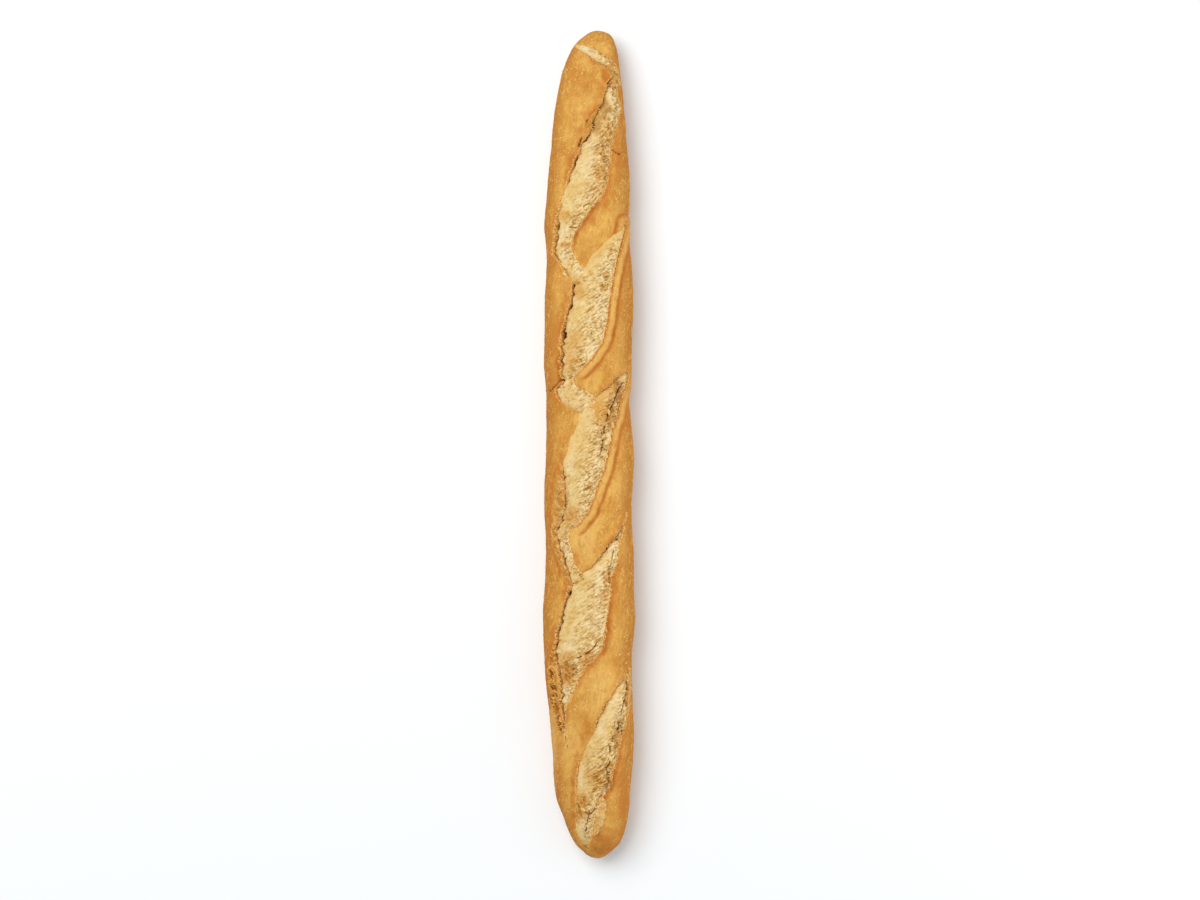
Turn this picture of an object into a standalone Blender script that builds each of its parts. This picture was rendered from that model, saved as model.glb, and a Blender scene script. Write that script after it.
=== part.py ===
"""A baguette: one uncut loaf with six slanting scores that opened in the oven.

The loaf lies along X with its flat base on z = 0, and its origin is under the middle.
Everything is in metres. Tables are in millimetres, because a baker's rule is, and
MM turns them into metres where they are read.

How the form is worked out:
  1. OUTLINE gives the left edge, the right edge and the height of the crown at stations
     along the loaf. A smooth curve through them is the loaf as it was shaped by hand.
  2. section() closes each station into a rounded bread section with a flat base.
  3. Each score in SCORES has a left and a right edge, seen from above. relief() sinks the
     dough inside them into a bed that swells up to the right, and lifts the torn crust
     along the edges into lips.
A UV sphere with its poles at the two tips carries all of it, so the loaf is one closed
body from the start.
"""

import math

import bmesh
import bpy
import numpy as np

MM = 0.001

# Driving dimensions
LENGTH = 600 * MM
TIP_HEIGHT = 15 * MM
TIP_LIFT_REACH = 46 * MM
BELLY_SHARE = 0.43
BASE_SQUASH = 0.15
BASE_CORNER = 0.05
SECTION_FULLNESS = 0.9

# The mesh of the loaf: columns around, rings along, and how both crowd together. The
# columns wind round the loaf at the scores' own slant, so that they follow the lips.
AROUND = 48
ALONG = 104
CROWN_CROWDING = 0.36
TIP_CROWDING = 1.25
COLUMN_SLANT = 0.35
HALF_WIDTH = 33 * MM
WIND = COLUMN_SLANT / (HALF_WIDTH * (1 - CROWN_CROWDING))

# The relief of the scores
CREVICE_DEPTH = 3.6 * MM
BLOOM_SWELL = 2.2 * MM
LIP_RISE = 1.2 * MM
LIP_REACH = 5.0 * MM
RIDGE_RISE = 1.6 * MM
RIDGE_OFFSET = 2.2 * MM
RIDGE_WIDTH = 2.2 * MM
GROOVE_DEPTH = 1.3 * MM
GROOVE_OFFSET = 7.5 * MM
GROOVE_WIDTH = 3.0 * MM
FULL_SCORE_WIDTH = 13 * MM
LIP_SOFTNESS = 1.5 * MM

# Stations along the loaf: place, left edge, right edge, crown height (mm)
OUTLINE = (
    (-300, -6, -6, 15),
    (-296, 3, -15, 24),
    (-288, 11, -23, 31),
    (-272, 18, -28, 37),
    (-250, 25, -30, 41),
    (-220, 26.5, -32.5, 43.5),
    (-192, 28.5, -32, 44.5),
    (-158, 32.5, -31, 45.5),
    (-120, 33.3, -33.2, 46.5),
    (-76, 31, -32, 45.5),
    (-46, 32.5, -31, 46),
    (-10, 31, -32.5, 46),
    (32, 30.5, -29.5, 45),
    (62, 32.5, -31, 46),
    (100, 32, -32, 45.5),
    (138, 30.5, -30.5, 44.5),
    (158, 32, -29, 44.5),
    (186, 30.5, -29.5, 43.5),
    (214, 27.5, -27.5, 42.5),
    (242, 24.5, -26, 41),
    (267, 20, -23, 38),
    (286, 12.5, -20.5, 32),
    (296, 3.5, -16.5, 24),
    (300, -6, -6, 15),
)

# Each score's left and right edge from above: place along, place across (mm)
SCORES = {
    "tip": (
        ((289, 9), (283, 5), (278, -2), (274, -8), (269, -15), (258, -14)),
        ((289, 9), (286, -2), (282, -9), (278, -15), (269, -21), (258, -21)),
    ),
    "first": (
        ((259, -17), (249, -11), (234, -2), (226, -1), (213, 6), (191, 15),
         (168, 22), (137, 25), (123, 16), (113, 8)),
        ((259, -17), (246, -22), (230, -20), (208, -15), (186, -12), (177, -9),
         (154, 9), (141, 13), (126, 4), (113, -1)),
    ),
    "second": (
        ((160, -27), (146, -12), (128, 2), (118, 11), (92, 17), (72, 20),
         (47, 19), (37, 24), (24, 12)),
        ((160, -27), (142, -23), (115, -17), (86, -13), (67, -6), (47, 11),
         (38, 1), (29, -8), (24, -2)),
    ),
    "third": (
        ((53, -28), (41, -14), (31, -2), (23, 7), (7, 12), (-16, 19), (-47, 19),
         (-66, 25), (-84, 19), (-101, 12)),
        ((53, -28), (32, -23), (0, -15), (-31, -6), (-58, 8), (-76, 12),
         (-92, 5), (-101, -1)),
    ),
    "fourth": (
        ((-49, -27), (-69, -17), (-92, 4), (-102, 13), (-125, 20), (-152, 25),
         (-170, 27), (-189, 22), (-218, 17)),
        ((-49, -27), (-84, -21), (-98, -15), (-127, -12), (-140, -10), (-154, 4),
         (-173, 9), (-189, 17), (-218, 16)),
    ),
    "fifth": (
        ((-162, -29), (-175, -20), (-199, -5), (-223, 5), (-244, 9), (-266, 9),
         (-288, 4)),
        ((-162, -29), (-192, -28), (-221, -21), (-246, -15), (-262, -7),
         (-283, -5), (-291, 1)),
    ),
}

CRUST_COLOUR = (0.66, 0.32, 0.075, 1.0)
CRUMB_COLOUR = (0.76, 0.56, 0.25, 1.0)


def smooth_curve(knots, values, at):
    """Reads a smooth curve through the knots: cubic Hermite pieces whose slope at a knot
    is the harmonic mean of the two straight slopes beside it, and zero at a turning point,
    so the curve never bulges past its own points."""
    knots = np.asarray(knots, float)
    values = np.asarray(values, float)
    step = np.diff(knots)
    slope = np.diff(values) / step
    same_way = slope[:-1] * slope[1:] > 0
    safe_sum = np.where(same_way, slope[:-1] + slope[1:], 1.0)
    inner = np.where(same_way, 2 * slope[:-1] * slope[1:] / safe_sum, 0.0)
    tangent = np.concatenate([slope[:1], inner, slope[-1:]])
    piece = np.clip(np.searchsorted(knots, at) - 1, 0, len(step) - 1)
    s = (at - knots[piece]) / step[piece]
    start = (1 + 2 * s) * (1 - s) ** 2 * values[piece]
    leave = s * (1 - s) ** 2 * step[piece] * tangent[piece]
    end = s**2 * (3 - 2 * s) * values[piece + 1]
    arrive = s**2 * (s - 1) * step[piece] * tangent[piece + 1]
    return start + leave + end + arrive


def end_angle(x):
    """The angle whose cosine is x over half the length: the edges run straight in it at
    the tips, so both ends of the loaf come out round."""
    return np.arccos(np.clip(2 * np.asarray(x) / LENGTH, -1, 1))


def station(x):
    """Left edge, right edge and crown height of the plain loaf at each place along it."""
    table = np.array(OUTLINE[::-1]) * MM
    knots = end_angle(table[:, 0])
    return [smooth_curve(knots, table[:, column], end_angle(x)) for column in (1, 2, 3)]


def underside(x):
    """Height of the base: zero, and a quarter of an ellipse up to the tip at each end."""
    from_tip = np.clip((LENGTH / 2 - np.abs(x)) / TIP_LIFT_REACH, 0, 1)
    return TIP_HEIGHT * (1 - np.sqrt(1 - (1 - from_tip) ** 2))


def soft_floor(height, corner):
    """The height where it is above zero, exactly zero where it is below, and a parabola
    that joins the two within one corner on either side."""
    blend = (height + corner) ** 2 / (4 * np.maximum(corner, 1e-9))
    return np.where(height > corner, height, np.where(height < -corner, 0.0, blend))


def section(x, angle):
    """Across and up for an angle round the loaf, measured from the crown towards the left.
    Above the belly it is a quarter superellipse up to the crown, and below it a fuller
    one that is pressed flat where the loaf stands."""
    left, right, crown = station(x)
    low = underside(x)
    belly = low + BELLY_SHARE * (crown - low)
    sine = np.sin(angle)
    cosine = np.cos(angle)
    across = (left + right) / 2
    across = across + (left - right) / 2 * np.sign(sine) * np.abs(sine) ** SECTION_FULLNESS
    rise = np.abs(cosine) ** SECTION_FULLNESS
    upper = belly + (crown - belly) * rise
    depth = belly - low
    lower = low + soft_floor(depth - (1 + BASE_SQUASH) * depth * rise, BASE_CORNER * depth)
    return across, np.where(cosine > 0, upper, lower)


def ease(share):
    """A smooth step: nought up to 0, one from 1 on, and level at both ends."""
    share = np.clip(share, 0, 1)
    return share * share * (3 - 2 * share)


def score_edges(name, x):
    """The two edges of one score at each place along, and how far it has opened there:
    nought where it has closed up or isn't, one where it is fully wide."""
    left_points, right_points = (np.array(edge[::-1]) * MM for edge in SCORES[name])
    left = np.interp(x, left_points[:, 0], left_points[:, 1])
    right = np.interp(x, right_points[:, 0], right_points[:, 1])
    inside = (x > left_points[0, 0]) & (x < left_points[-1, 0])
    return left, right, np.where(inside, ease((left - right) / FULL_SCORE_WIDTH), 0.0)


def bump(distance, centre, width):
    """A bell curve: one at its centre, about a third one width away."""
    return np.exp(-(((distance - centre) / width) ** 2))


def relief(x, y):
    """Height that the scores add to the plain loaf, seen from above.
    Inside a score: a bed sunk along the left edge, less and less to the right, plus a
    swell over the middle. Left of it a lip that dies away, right of it a rolled ridge
    with a groove behind. Where scores run together, the one whose edges are furthest off
    counts, and the step at an edge is eased over the softness of the lip."""
    nearest = np.full(x.shape, -np.inf)
    bed = np.zeros(x.shape)
    banks = np.zeros(x.shape)
    for name in SCORES:
        left, right, opened = score_edges(name, x)
        width = np.maximum(left - right, MM)
        from_left = left - y
        from_right = y - right
        share = np.clip(from_left / width, 0, 1)
        sunk = BLOOM_SWELL * np.sin(math.pi * share) - CREVICE_DEPTH * (1 - share) ** 2
        depth_in = np.where(opened > 0, np.minimum(from_left, from_right), -np.inf)
        bed = np.where(depth_in > nearest, sunk * opened, bed)
        nearest = np.maximum(nearest, depth_in)
        lip = LIP_RISE * bump(-from_left, 0, LIP_REACH) * (from_left < 0)
        ridge = RIDGE_RISE * bump(-from_right, RIDGE_OFFSET, RIDGE_WIDTH)
        groove = GROOVE_DEPTH * bump(-from_right, GROOVE_OFFSET, GROOVE_WIDTH)
        banks += opened * (lip + (ridge - groove) * (from_right < 0))
    within = ease((nearest + LIP_SOFTNESS) / (2 * LIP_SOFTNESS))
    return bed * within + banks * (1 - within)


def loaf_points(polar, round_angle):
    """Places for every vertex of the sphere: the polar angle runs from one tip to the
    other, and the angle round it goes through section() and then out by relief()."""
    share = 1 - 2 * polar / math.pi
    x = LENGTH / 2 * np.sign(share) * (1 - (1 - np.abs(share)) ** TIP_CROWDING)
    wound = round_angle - x * WIND
    angle = wound - CROWN_CROWDING * np.sin(wound)
    y, z = section(x, angle)
    step = 0.01
    ahead_y, ahead_z = section(x, angle + step)
    behind_y, behind_z = section(x, angle - step)
    run_y = ahead_y - behind_y
    run_z = ahead_z - behind_z
    size = np.maximum(np.hypot(run_y, run_z), 1e-9)
    out = relief(x, y) * np.clip(4 * np.cos(angle), 0, 1)
    return np.column_stack([x, y - out * run_z / size, z + out * run_y / size])


def make_loaf(collection):
    """The sphere, its poles turned onto the loaf's tips and its vertices put in place."""
    mesh = bpy.data.meshes.new("baguette")
    shape = bmesh.new()
    bmesh.ops.create_uvsphere(shape, u_segments=AROUND, v_segments=ALONG, radius=1.0)
    unit = np.array([vertex.co[:] for vertex in shape.verts])
    polar = np.arccos(np.clip(unit[:, 2], -1, 1))
    # The sphere's X and Y become the loaf's Y and Z, and the angle is counted from the crown.
    round_angle = np.arctan2(unit[:, 0], unit[:, 1])
    for vertex, place in zip(shape.verts, loaf_points(polar, round_angle)):
        vertex.co = place
    bmesh.ops.triangulate(shape, faces=shape.faces)
    shape.to_mesh(mesh)
    shape.free()
    mesh.shade_smooth()
    loaf = bpy.data.objects.new("baguette", mesh)
    collection.objects.link(loaf)
    return loaf


def principled(name, colour, roughness):
    """A plain Principled material of one colour."""
    material = bpy.data.materials.new(name)
    material.use_nodes = True
    shader = material.node_tree.nodes["Principled BSDF"]
    shader.inputs["Base Color"].default_value = colour
    shader.inputs["Roughness"].default_value = roughness
    shader.inputs["Metallic"].default_value = 0.0
    return material


def paint(loaf):
    """Golden crust all over, and pale crumb on each face that lies inside a score."""
    loaf.data.materials.append(principled("crust", CRUST_COLOUR, 0.6))
    loaf.data.materials.append(principled("crumb", CRUMB_COLOUR, 0.85))
    centres = np.array([face.center[:] for face in loaf.data.polygons])
    x, y, z = centres.T
    within = np.zeros(len(centres), bool)
    for name in SCORES:
        left, right, opened = score_edges(name, x)
        within |= (opened > 0) & (y < left) & (y > right) & (z > TIP_HEIGHT)
    loaf.data.polygons.foreach_set("material_index", within.astype(np.int32))


def main():
    for old in list(bpy.data.objects):
        bpy.data.objects.remove(old, do_unlink=True)
    collection = bpy.data.collections.new("baguette")
    bpy.context.scene.collection.children.link(collection)
    loaf = make_loaf(collection)
    paint(loaf)
    corners = np.array([vertex.co[:] for vertex in loaf.data.vertices])
    size = (corners.max(axis=0) - corners.min(axis=0)) / MM
    print(f"baguette: {len(loaf.data.polygons)} triangles, {size.round(1)} mm")


main()
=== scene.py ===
# %% [markdown]
# # A baguette
#
# A loaf of bread looks simple until it is lit: what makes it bread is the difference
# between the tight golden crust and the pale dough that burst through the baker's cuts.
# This lesson builds both as surfaces worked out from formulas with numpy. The loaf's
# plain form comes first, then the cuts' edges, then the crust that is torn along them,
# then the dough that swelled up inside them, and last the colours.

import itertools

import bpy
import numpy as np
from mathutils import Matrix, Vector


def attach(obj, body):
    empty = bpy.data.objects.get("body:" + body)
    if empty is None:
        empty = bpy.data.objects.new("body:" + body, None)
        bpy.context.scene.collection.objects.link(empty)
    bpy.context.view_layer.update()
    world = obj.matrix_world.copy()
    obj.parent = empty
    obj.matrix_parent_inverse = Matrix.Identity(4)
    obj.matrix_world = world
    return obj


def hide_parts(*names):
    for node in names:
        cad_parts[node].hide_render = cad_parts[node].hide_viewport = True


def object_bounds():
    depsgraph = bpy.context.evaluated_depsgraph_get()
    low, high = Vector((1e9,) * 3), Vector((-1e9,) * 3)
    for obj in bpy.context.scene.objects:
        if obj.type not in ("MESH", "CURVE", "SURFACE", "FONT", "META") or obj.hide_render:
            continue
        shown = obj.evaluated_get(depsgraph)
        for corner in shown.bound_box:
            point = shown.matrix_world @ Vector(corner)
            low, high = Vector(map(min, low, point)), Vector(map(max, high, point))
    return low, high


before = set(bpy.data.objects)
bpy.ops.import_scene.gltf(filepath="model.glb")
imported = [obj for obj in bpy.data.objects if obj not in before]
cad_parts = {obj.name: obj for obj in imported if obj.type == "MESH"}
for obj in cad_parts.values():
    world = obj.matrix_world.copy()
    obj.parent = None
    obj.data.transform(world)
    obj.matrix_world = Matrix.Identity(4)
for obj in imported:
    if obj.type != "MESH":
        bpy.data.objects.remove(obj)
solid_low, solid_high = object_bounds()

MM = 0.001
LENGTH = (solid_high.x - solid_low.x) / MM
HALF_LENGTH = LENGTH / 2
print(f"the solid loaf is {LENGTH:.1f} mm long")

# %% [markdown]
# ## The camera
#
# The loaf is looked at from straight above, with its slim end at the top of the frame,
# so the camera's up direction is the loaf's +X. A long lens from well above keeps both
# ends the same size. The lens follows from how wide a strip the frame has to show.

# %% Camera
SENSOR = 36.0
CAMERA_HEIGHT = 2.4
LOOK_AT = (-4.0 * MM, -8.0 * MM, 20.0 * MM)
FRAME_WIDTH = 1.448 * LENGTH * MM


def make_camera():
    """Lens = sensor width times distance over the width that the frame shows."""
    data = bpy.data.cameras.new("camera")
    data.sensor_width = SENSOR
    data.lens = SENSOR * CAMERA_HEIGHT / FRAME_WIDTH
    camera = bpy.data.objects.new("camera", data)
    camera.location = (LOOK_AT[0], LOOK_AT[1], LOOK_AT[2] + CAMERA_HEIGHT)
    camera.rotation_euler = (0, 0, -np.pi / 2)
    bpy.context.scene.collection.objects.link(camera)
    bpy.context.scene.camera = camera
    return camera


print(f"camera lens {make_camera().data.lens:.1f} mm")

# %% [markdown]
# ## Curves and random hills
#
# Three small tools carry the whole loaf. A smooth curve through a few points gives its
# edges. An eased step joins one level to another. Random hills, worked out from a hash
# of whole-number cells, give everything that is uneven: they need no stored table, and
# they come out the same on every run.

# %% Curves and eased steps


def smooth_curve(knots, values, at):
    """Cubic Hermite pieces through the knots. The slope at a knot is the harmonic mean of
    the straight slopes beside it, and zero at a turning point, so nothing overshoots."""
    knots = np.asarray(knots, float)
    values = np.asarray(values, float)
    step = np.diff(knots)
    slope = np.diff(values) / step
    same_way = slope[:-1] * slope[1:] > 0
    safe_sum = np.where(same_way, slope[:-1] + slope[1:], 1.0)
    inner = np.where(same_way, 2 * slope[:-1] * slope[1:] / safe_sum, 0.0)
    tangent = np.concatenate([slope[:1], inner, slope[-1:]])
    piece = np.clip(np.searchsorted(knots, at) - 1, 0, len(step) - 1)
    s = (at - knots[piece]) / step[piece]
    start = (1 + 2 * s) * (1 - s) ** 2 * values[piece]
    leave = s * (1 - s) ** 2 * step[piece] * tangent[piece]
    end = s**2 * (3 - 2 * s) * values[piece + 1]
    arrive = s**2 * (s - 1) * step[piece] * tangent[piece + 1]
    return start + leave + end + arrive


def ease(share):
    """A smooth step: nought up to 0, one from 1 on, level at both ends."""
    share = np.clip(share, 0, 1)
    return share * share * (3 - 2 * share)


def bump(distance, centre, width):
    """A bell curve, one at its centre and a third of that one width away."""
    return np.exp(-(((distance - centre) / width) ** 2))


# %% Random hills and random dots
CELL_PRIMES = np.array([73856093, 19349663, 83492791])
WORD = 0xFFFFFFFF


def cell_value(cells, seed):
    """A number from 0 to 1 for each whole-number cell: its coordinates times three large
    primes are summed, mixed by shifts and products, and cut down to sixteen bits."""
    mixed = (cells * CELL_PRIMES).sum(axis=-1) + seed * 1013904223
    mixed = (mixed ^ (mixed >> 15)) & WORD
    mixed = mixed * 739982445 & WORD
    mixed = (mixed ^ (mixed >> 13)) * 695872825 & WORD
    return ((mixed ^ (mixed >> 16)) & 0xFFFF) / 0xFFFF


def hills(points, size, seed):
    """Random heights from -1 to 1, one for each cell corner, blended in between with the
    quintic step 6s^5 - 15s^4 + 10s^3 along each of the three directions."""
    place = np.asarray(points, float) / size
    cell = np.floor(place).astype(np.int64)
    part = place - cell
    part = part**3 * (part * (part * 6 - 15) + 10)
    total = np.zeros(place.shape[:-1])
    for corner in itertools.product((0, 1), repeat=3):
        weight = np.where(corner, part, 1 - part).prod(axis=-1)
        total += weight * cell_value(cell + np.array(corner), seed)
    return 2 * total - 1


def layered_hills(points, size, seed, layers=3):
    """Hills on hills: each layer has half the size and half the height of the last."""
    size = np.asarray(size, float)
    heights = [hills(points, size / 2**k, seed + k) / 2**k for k in range(layers)]
    return sum(heights) / sum(1 / 2**k for k in range(layers))


def dots(points, size, seed):
    """Distance to the nearest of a scatter of dots, one at a random place in every cell of
    the plane, in cells, and that dot's own number from 0 to 1."""
    place = np.asarray(points, float) / size
    cell = np.floor(place).astype(np.int64)
    nearest = np.full(place.shape[:-1], np.inf)
    own = np.zeros(place.shape[:-1])
    for step in itertools.product((-1, 0, 1), repeat=2):
        other = cell + np.array([*step, 0])
        across = other[..., 0] + cell_value(other, seed) - place[..., 0]
        along = other[..., 1] + cell_value(other, seed + 1) - place[..., 1]
        distance = np.hypot(across, along)
        own = np.where(distance < nearest, cell_value(other, seed + 2), own)
        nearest = np.minimum(nearest, distance)
    return nearest, own


def flat(x, y):
    """Points of the plane as points of space, for the two functions above."""
    return np.stack([x, y, np.zeros_like(x)], axis=-1)


# %% [markdown]
# ## The loaf's plain form
#
# Before the oven the loaf is a rope of dough with rounded ends. Its left and right edge
# and the height of its crown are read from a smooth curve through stations along it, and
# each station is closed into a superellipse that is pressed flat at the bottom. This is
# the form of the solid model too, so the two agree.

# %% Plain form
TIP_HEIGHT = 15.0
TIP_ACROSS = -6.0
TIP_LIFT_REACH = 46.0
BELLY_SHARE = 0.43
BASE_SQUASH = 0.15
BASE_CORNER = 0.05
SECTION_FULLNESS = 0.9

# Place along, left edge, right edge and crown height, in mm for a loaf of 600 mm
OUTLINE = np.array([
    (-300, -6, -6, 15), (-296, 3, -15, 24), (-288, 11, -23, 31), (-272, 18, -28, 37),
    (-250, 25, -30, 41), (-220, 26.5, -32.5, 43.5), (-192, 28.5, -32, 44.5),
    (-158, 32.5, -31, 45.5), (-120, 33.3, -33.2, 46.5), (-76, 31, -32, 45.5),
    (-46, 32.5, -31, 46), (-10, 31, -32.5, 46), (32, 30.5, -29.5, 45), (62, 32.5, -31, 46),
    (100, 32, -32, 45.5), (138, 30.5, -30.5, 44.5), (158, 32, -29, 44.5),
    (186, 30.5, -29.5, 43.5), (214, 27.5, -27.5, 42.5), (242, 24.5, -26, 41),
    (267, 20, -23, 38), (286, 12.5, -20.5, 32), (296, 3.5, -16.5, 24), (300, -6, -6, 15),
])[::-1] * (LENGTH / 600)


def end_angle(x):
    """The angle whose cosine is x over half the length: in it the edges run straight at
    the tips, so both ends come out round."""
    return np.arccos(np.clip(x / HALF_LENGTH, -1, 1))


def station(x):
    """Left edge, right edge and crown height at each place along the loaf."""
    knots = end_angle(OUTLINE[:, 0])
    return [smooth_curve(knots, OUTLINE[:, column], end_angle(x)) for column in (1, 2, 3)]


def section(x, angle):
    """Across and up, for an angle round the loaf counted from the crown to the left.
    Across is half the width times the sine to a power. Up is the belly's height plus or
    minus a share of the cosine to the same power, cut off softly at the base, and the
    base is a quarter ellipse up to each tip."""
    left, right, crown = station(x)
    from_tip = np.clip((HALF_LENGTH - np.abs(x)) / TIP_LIFT_REACH, 0, 1)
    low = TIP_HEIGHT * (1 - np.sqrt(1 - (1 - from_tip) ** 2))
    depth = BELLY_SHARE * (crown - low)
    sine = np.sin(angle)
    power = np.sign(sine) * np.abs(sine) ** SECTION_FULLNESS
    rise = np.abs(np.cos(angle)) ** SECTION_FULLNESS
    upper = low + depth + (crown - low - depth) * rise
    below = depth - (1 + BASE_SQUASH) * depth * rise
    corner = np.maximum(BASE_CORNER * depth, 1e-6)
    soft = np.where(below > corner, below, (below + corner) ** 2 / (4 * corner))
    lower = low + np.where(below < -corner, 0.0, soft)
    up = np.where(np.cos(angle) > 0, upper, lower)
    return (left + right) / 2 + (left - right) / 2 * power, up


def angle_at(x, y):
    """The angle at which the upper half of the section is y across: section() undone."""
    left, right, _ = station(x)
    share = np.clip((y - (left + right) / 2) / ((left - right) / 2 + 1e-6), -1, 1)
    return np.arcsin(np.sign(share) * np.abs(share) ** (1 / SECTION_FULLNESS))


def plain_point(x, angle):
    """The section as points of space."""
    across, up = section(x, angle)
    return np.stack(np.broadcast_arrays(x, across, up), axis=-1)


def loaf_surface(x, angle):
    """Points of the plain loaf and the directions straight out of it. Out is the cross
    product of a small step round the loaf and a small step along it. Broad gentle hills in
    the dough fade out towards the base, which stays flat."""
    turn = 0.004
    around = plain_point(x, angle + turn) - plain_point(x, angle - turn)
    polar = end_angle(x)
    ahead = HALF_LENGTH * np.cos(np.clip(polar + turn, 0, np.pi))
    behind = HALF_LENGTH * np.cos(np.clip(polar - turn, 0, np.pi))
    along = plain_point(ahead, angle) - plain_point(behind, angle)
    out = np.cross(around, along)
    out /= np.maximum(np.linalg.norm(out, axis=-1, keepdims=True), 1e-9)
    points = plain_point(x, angle)
    swell = 0.7 * layered_hills(points, 26.0, 5) * ease(points[..., 2] / 12)
    return points + out * swell[..., None], out


print(f"widest {np.ptp(section(np.linspace(-290, 290, 99), 1.57)[0]):.1f} mm")

# %% [markdown]
# ## The edges of the scores
#
# A baker slashes the dough just before baking. In the oven each slash opens: the crust on
# one side curls up into a rim, and on the other it tears away and leaves a dark crevice.
# Each score is held as two edges seen from above, a left and a right one. Every point has
# a third number: how deep the crevice is on the left, how bold the rim is on the right.
# The tear is made ragged with one-dimensional hills along the edge.

# %% Score tables
# Place along, place across (mm) and strength, from the slim end down
SCORES = {
    "tip": (
        ((289, 10, .1), (286, 9, .2), (283, 5, .3), (278, -2, .3), (274, -8, .4),
         (272, -12, .8), (269, -15, .9), (265, -17, .9), (262, -16, .9), (258, -14, .9),
         (251, -13, .9)),
        ((289, 10, .1), (288, 4, .2), (286, -2, .3), (282, -9, .5), (278, -15, .6),
         (273, -19, .6), (269, -21, .4), (262, -22, .3), (258, -21, .3), (251, -20, .3)),
    ),
    "first": (
        ((264, -18, .7), (260, -15, .7), (256, -12, .7), (249, -11, .6), (242, -7, .6),
         (234, -2, .6), (226, -1, .7), (220, 3, .7), (213, 6, .7), (203, 11, .6), (191, 15, .4),
         (181, 19, .2), (168, 22, .4), (152, 24, 1), (137, 25, .9), (131, 22, .3),
         (123, 16, .3), (118, 12, .2), (113, 8, 0)),
        ((264, -20, .2), (259, -20, .2), (254, -20, .2), (246, -22, .4), (240, -23, .6),
         (230, -20, .6), (217, -17, .6), (208, -15, .6), (199, -14, .6), (186, -12, .6), (177, -9, .8),
         (170, -2, 1), (163, 3, 1), (154, 9, 1), (146, 12, .9), (141, 13, .5),
         (132, 9, .1), (126, 4, .1), (119, -2, 0), (113, -1, 0)),
    ),
    "second": (
        ((160, -27, .4), (155, -23, .1), (150, -17, .1), (146, -12, .05), (139, -6, .05),
         (134, -1, .1), (128, 2, .2), (123, 8, .2), (118, 11, .9), (112, 12, 1),
         (106, 13, .9), (92, 17, .6), (83, 19, .9), (72, 20, 1), (58, 20, .9),
         (47, 19, .5), (43, 20, .4), (39, 24, .3), (36, 24, .4), (32, 21, .3),
         (27, 15, .2), (24, 10, .2), (20, 3, .1)),
        ((160, -27, .8), (155, -26, .9), (142, -23, 1), (130, -20, 1), (115, -17, 1),
         (101, -15, 1), (86, -13, 1), (73, -10, 1), (67, -6, 1), (58, 1, 1), (50, 9, .8),
         (47, 11, .4), (42, 9, .3), (38, 1, .2), (34, -4, .2), (29, -7, .1), (24, -6, 0), (20, -4, 0)),
    ),
    "third": (
        ((53, -28, .3), (49, -22, .5), (45, -18, .5), (41, -14, .4), (37, -8, .3),
         (34, -5, .2), (31, -2, .2), (26, 4, .1), (23, 7, .1), (14, 9, .05), (7, 12, .1),
         (-5, 16, .1), (-16, 19, .3), (-22, 20, .9), (-33, 18, .6), (-47, 19, .5),
         (-56, 21, .7), (-63, 25, .9), (-69, 24, .9), (-76, 21, 1), (-84, 19, .9),
         (-92, 16, .5), (-101, 12, .3)),
        ((53, -28, .3), (45, -27, .6), (32, -23, .9), (21, -21, .9), (10, -17, .9),
         (0, -15, 1), (-15, -12, 1), (-24, -9, 1), (-31, -6, 1), (-46, -1, 1),
         (-52, 3, 1), (-58, 8, .7), (-62, 14, .3), (-68, 14, .3), (-76, 12, .4),
         (-86, 10, .3), (-92, 5, .2), (-97, -1, 0), (-101, -1, 0)),
    ),
    "fourth": (
        ((-49, -27, .7), (-56, -25, .8), (-63, -21, .8), (-69, -17, .8), (-74, -12, .7),
         (-79, -9, .7), (-84, -5, .5), (-88, -1, .4), (-92, 4, .2), (-97, 9, .1),
         (-102, 13, 1), (-110, 16, 1), (-118, 19, 1), (-125, 20, .9), (-134, 22, 1),
         (-143, 24, .8), (-152, 24.5, .8), (-160, 23, .7), (-170, 21.5, .9), (-181, 20.5, 1),
         (-189, 20, .9), (-197, 18.5, .4), (-207, 18.5, .2), (-218, 17, .1)),
        ((-49, -27, .2), (-58, -25, .3), (-73, -22, .4), (-84, -21, .5), (-92, -18, .8),
         (-98, -15, .8), (-105, -15, .9), (-116, -14, 1), (-127, -12, 1), (-134, -12, 1),
         (-145, -10, 1), (-152, -5, .9), (-158, 1, .8), (-165, 6, .6), (-173, 10, .4),
         (-183, 13, .2), (-189, 17, .1), (-199, 17, .1), (-208, 17, .1), (-218, 16, 0)),
    ),
    "fifth": (
        ((-162, -29, .3), (-170, -24, .35), (-175, -20, .3), (-181, -16, .4),
         (-194, -8, .4), (-199, -5, .4), (-208, -3, .2), (-215, 2, .2), (-223, 5, .22),
         (-232, 8, .3), (-244, 9, .3), (-255, 9.5, .2), (-266, 9.5, .2), (-278, 9.5, .2),
         (-285, 7, .15), (-290, 3, .1)),
        ((-162, -29, .2), (-178, -30, .3), (-192, -28, .4), (-210, -24, .6),
         (-221, -21, .8), (-234, -18, 1), (-246, -15, 1), (-255, -9, 1), (-262, -7, .6),
         (-271, -4, .4), (-281, -2, .3), (-290, 1, .2)),
    ),
}
LEFT, RIGHT = 0, 1

# How much of each score's right rim is rolled up; the rest of it dips under the bloom
ROLLED = {"tip": 0.3, "first": 0.05, "second": 1.0, "third": 0.9, "fourth": 0.1, "fifth": 0.1}
SCORE_SEEDS = {name: 40 + 10 * number for number, name in enumerate(SCORES)}

# %% Reading the edges


def score_range(name):
    """The lowest and highest place along the loaf that a score reaches."""
    rows = np.concatenate([np.array(side) for side in SCORES[name]])
    return rows[:, 0].min(), rows[:, 0].max()


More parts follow.
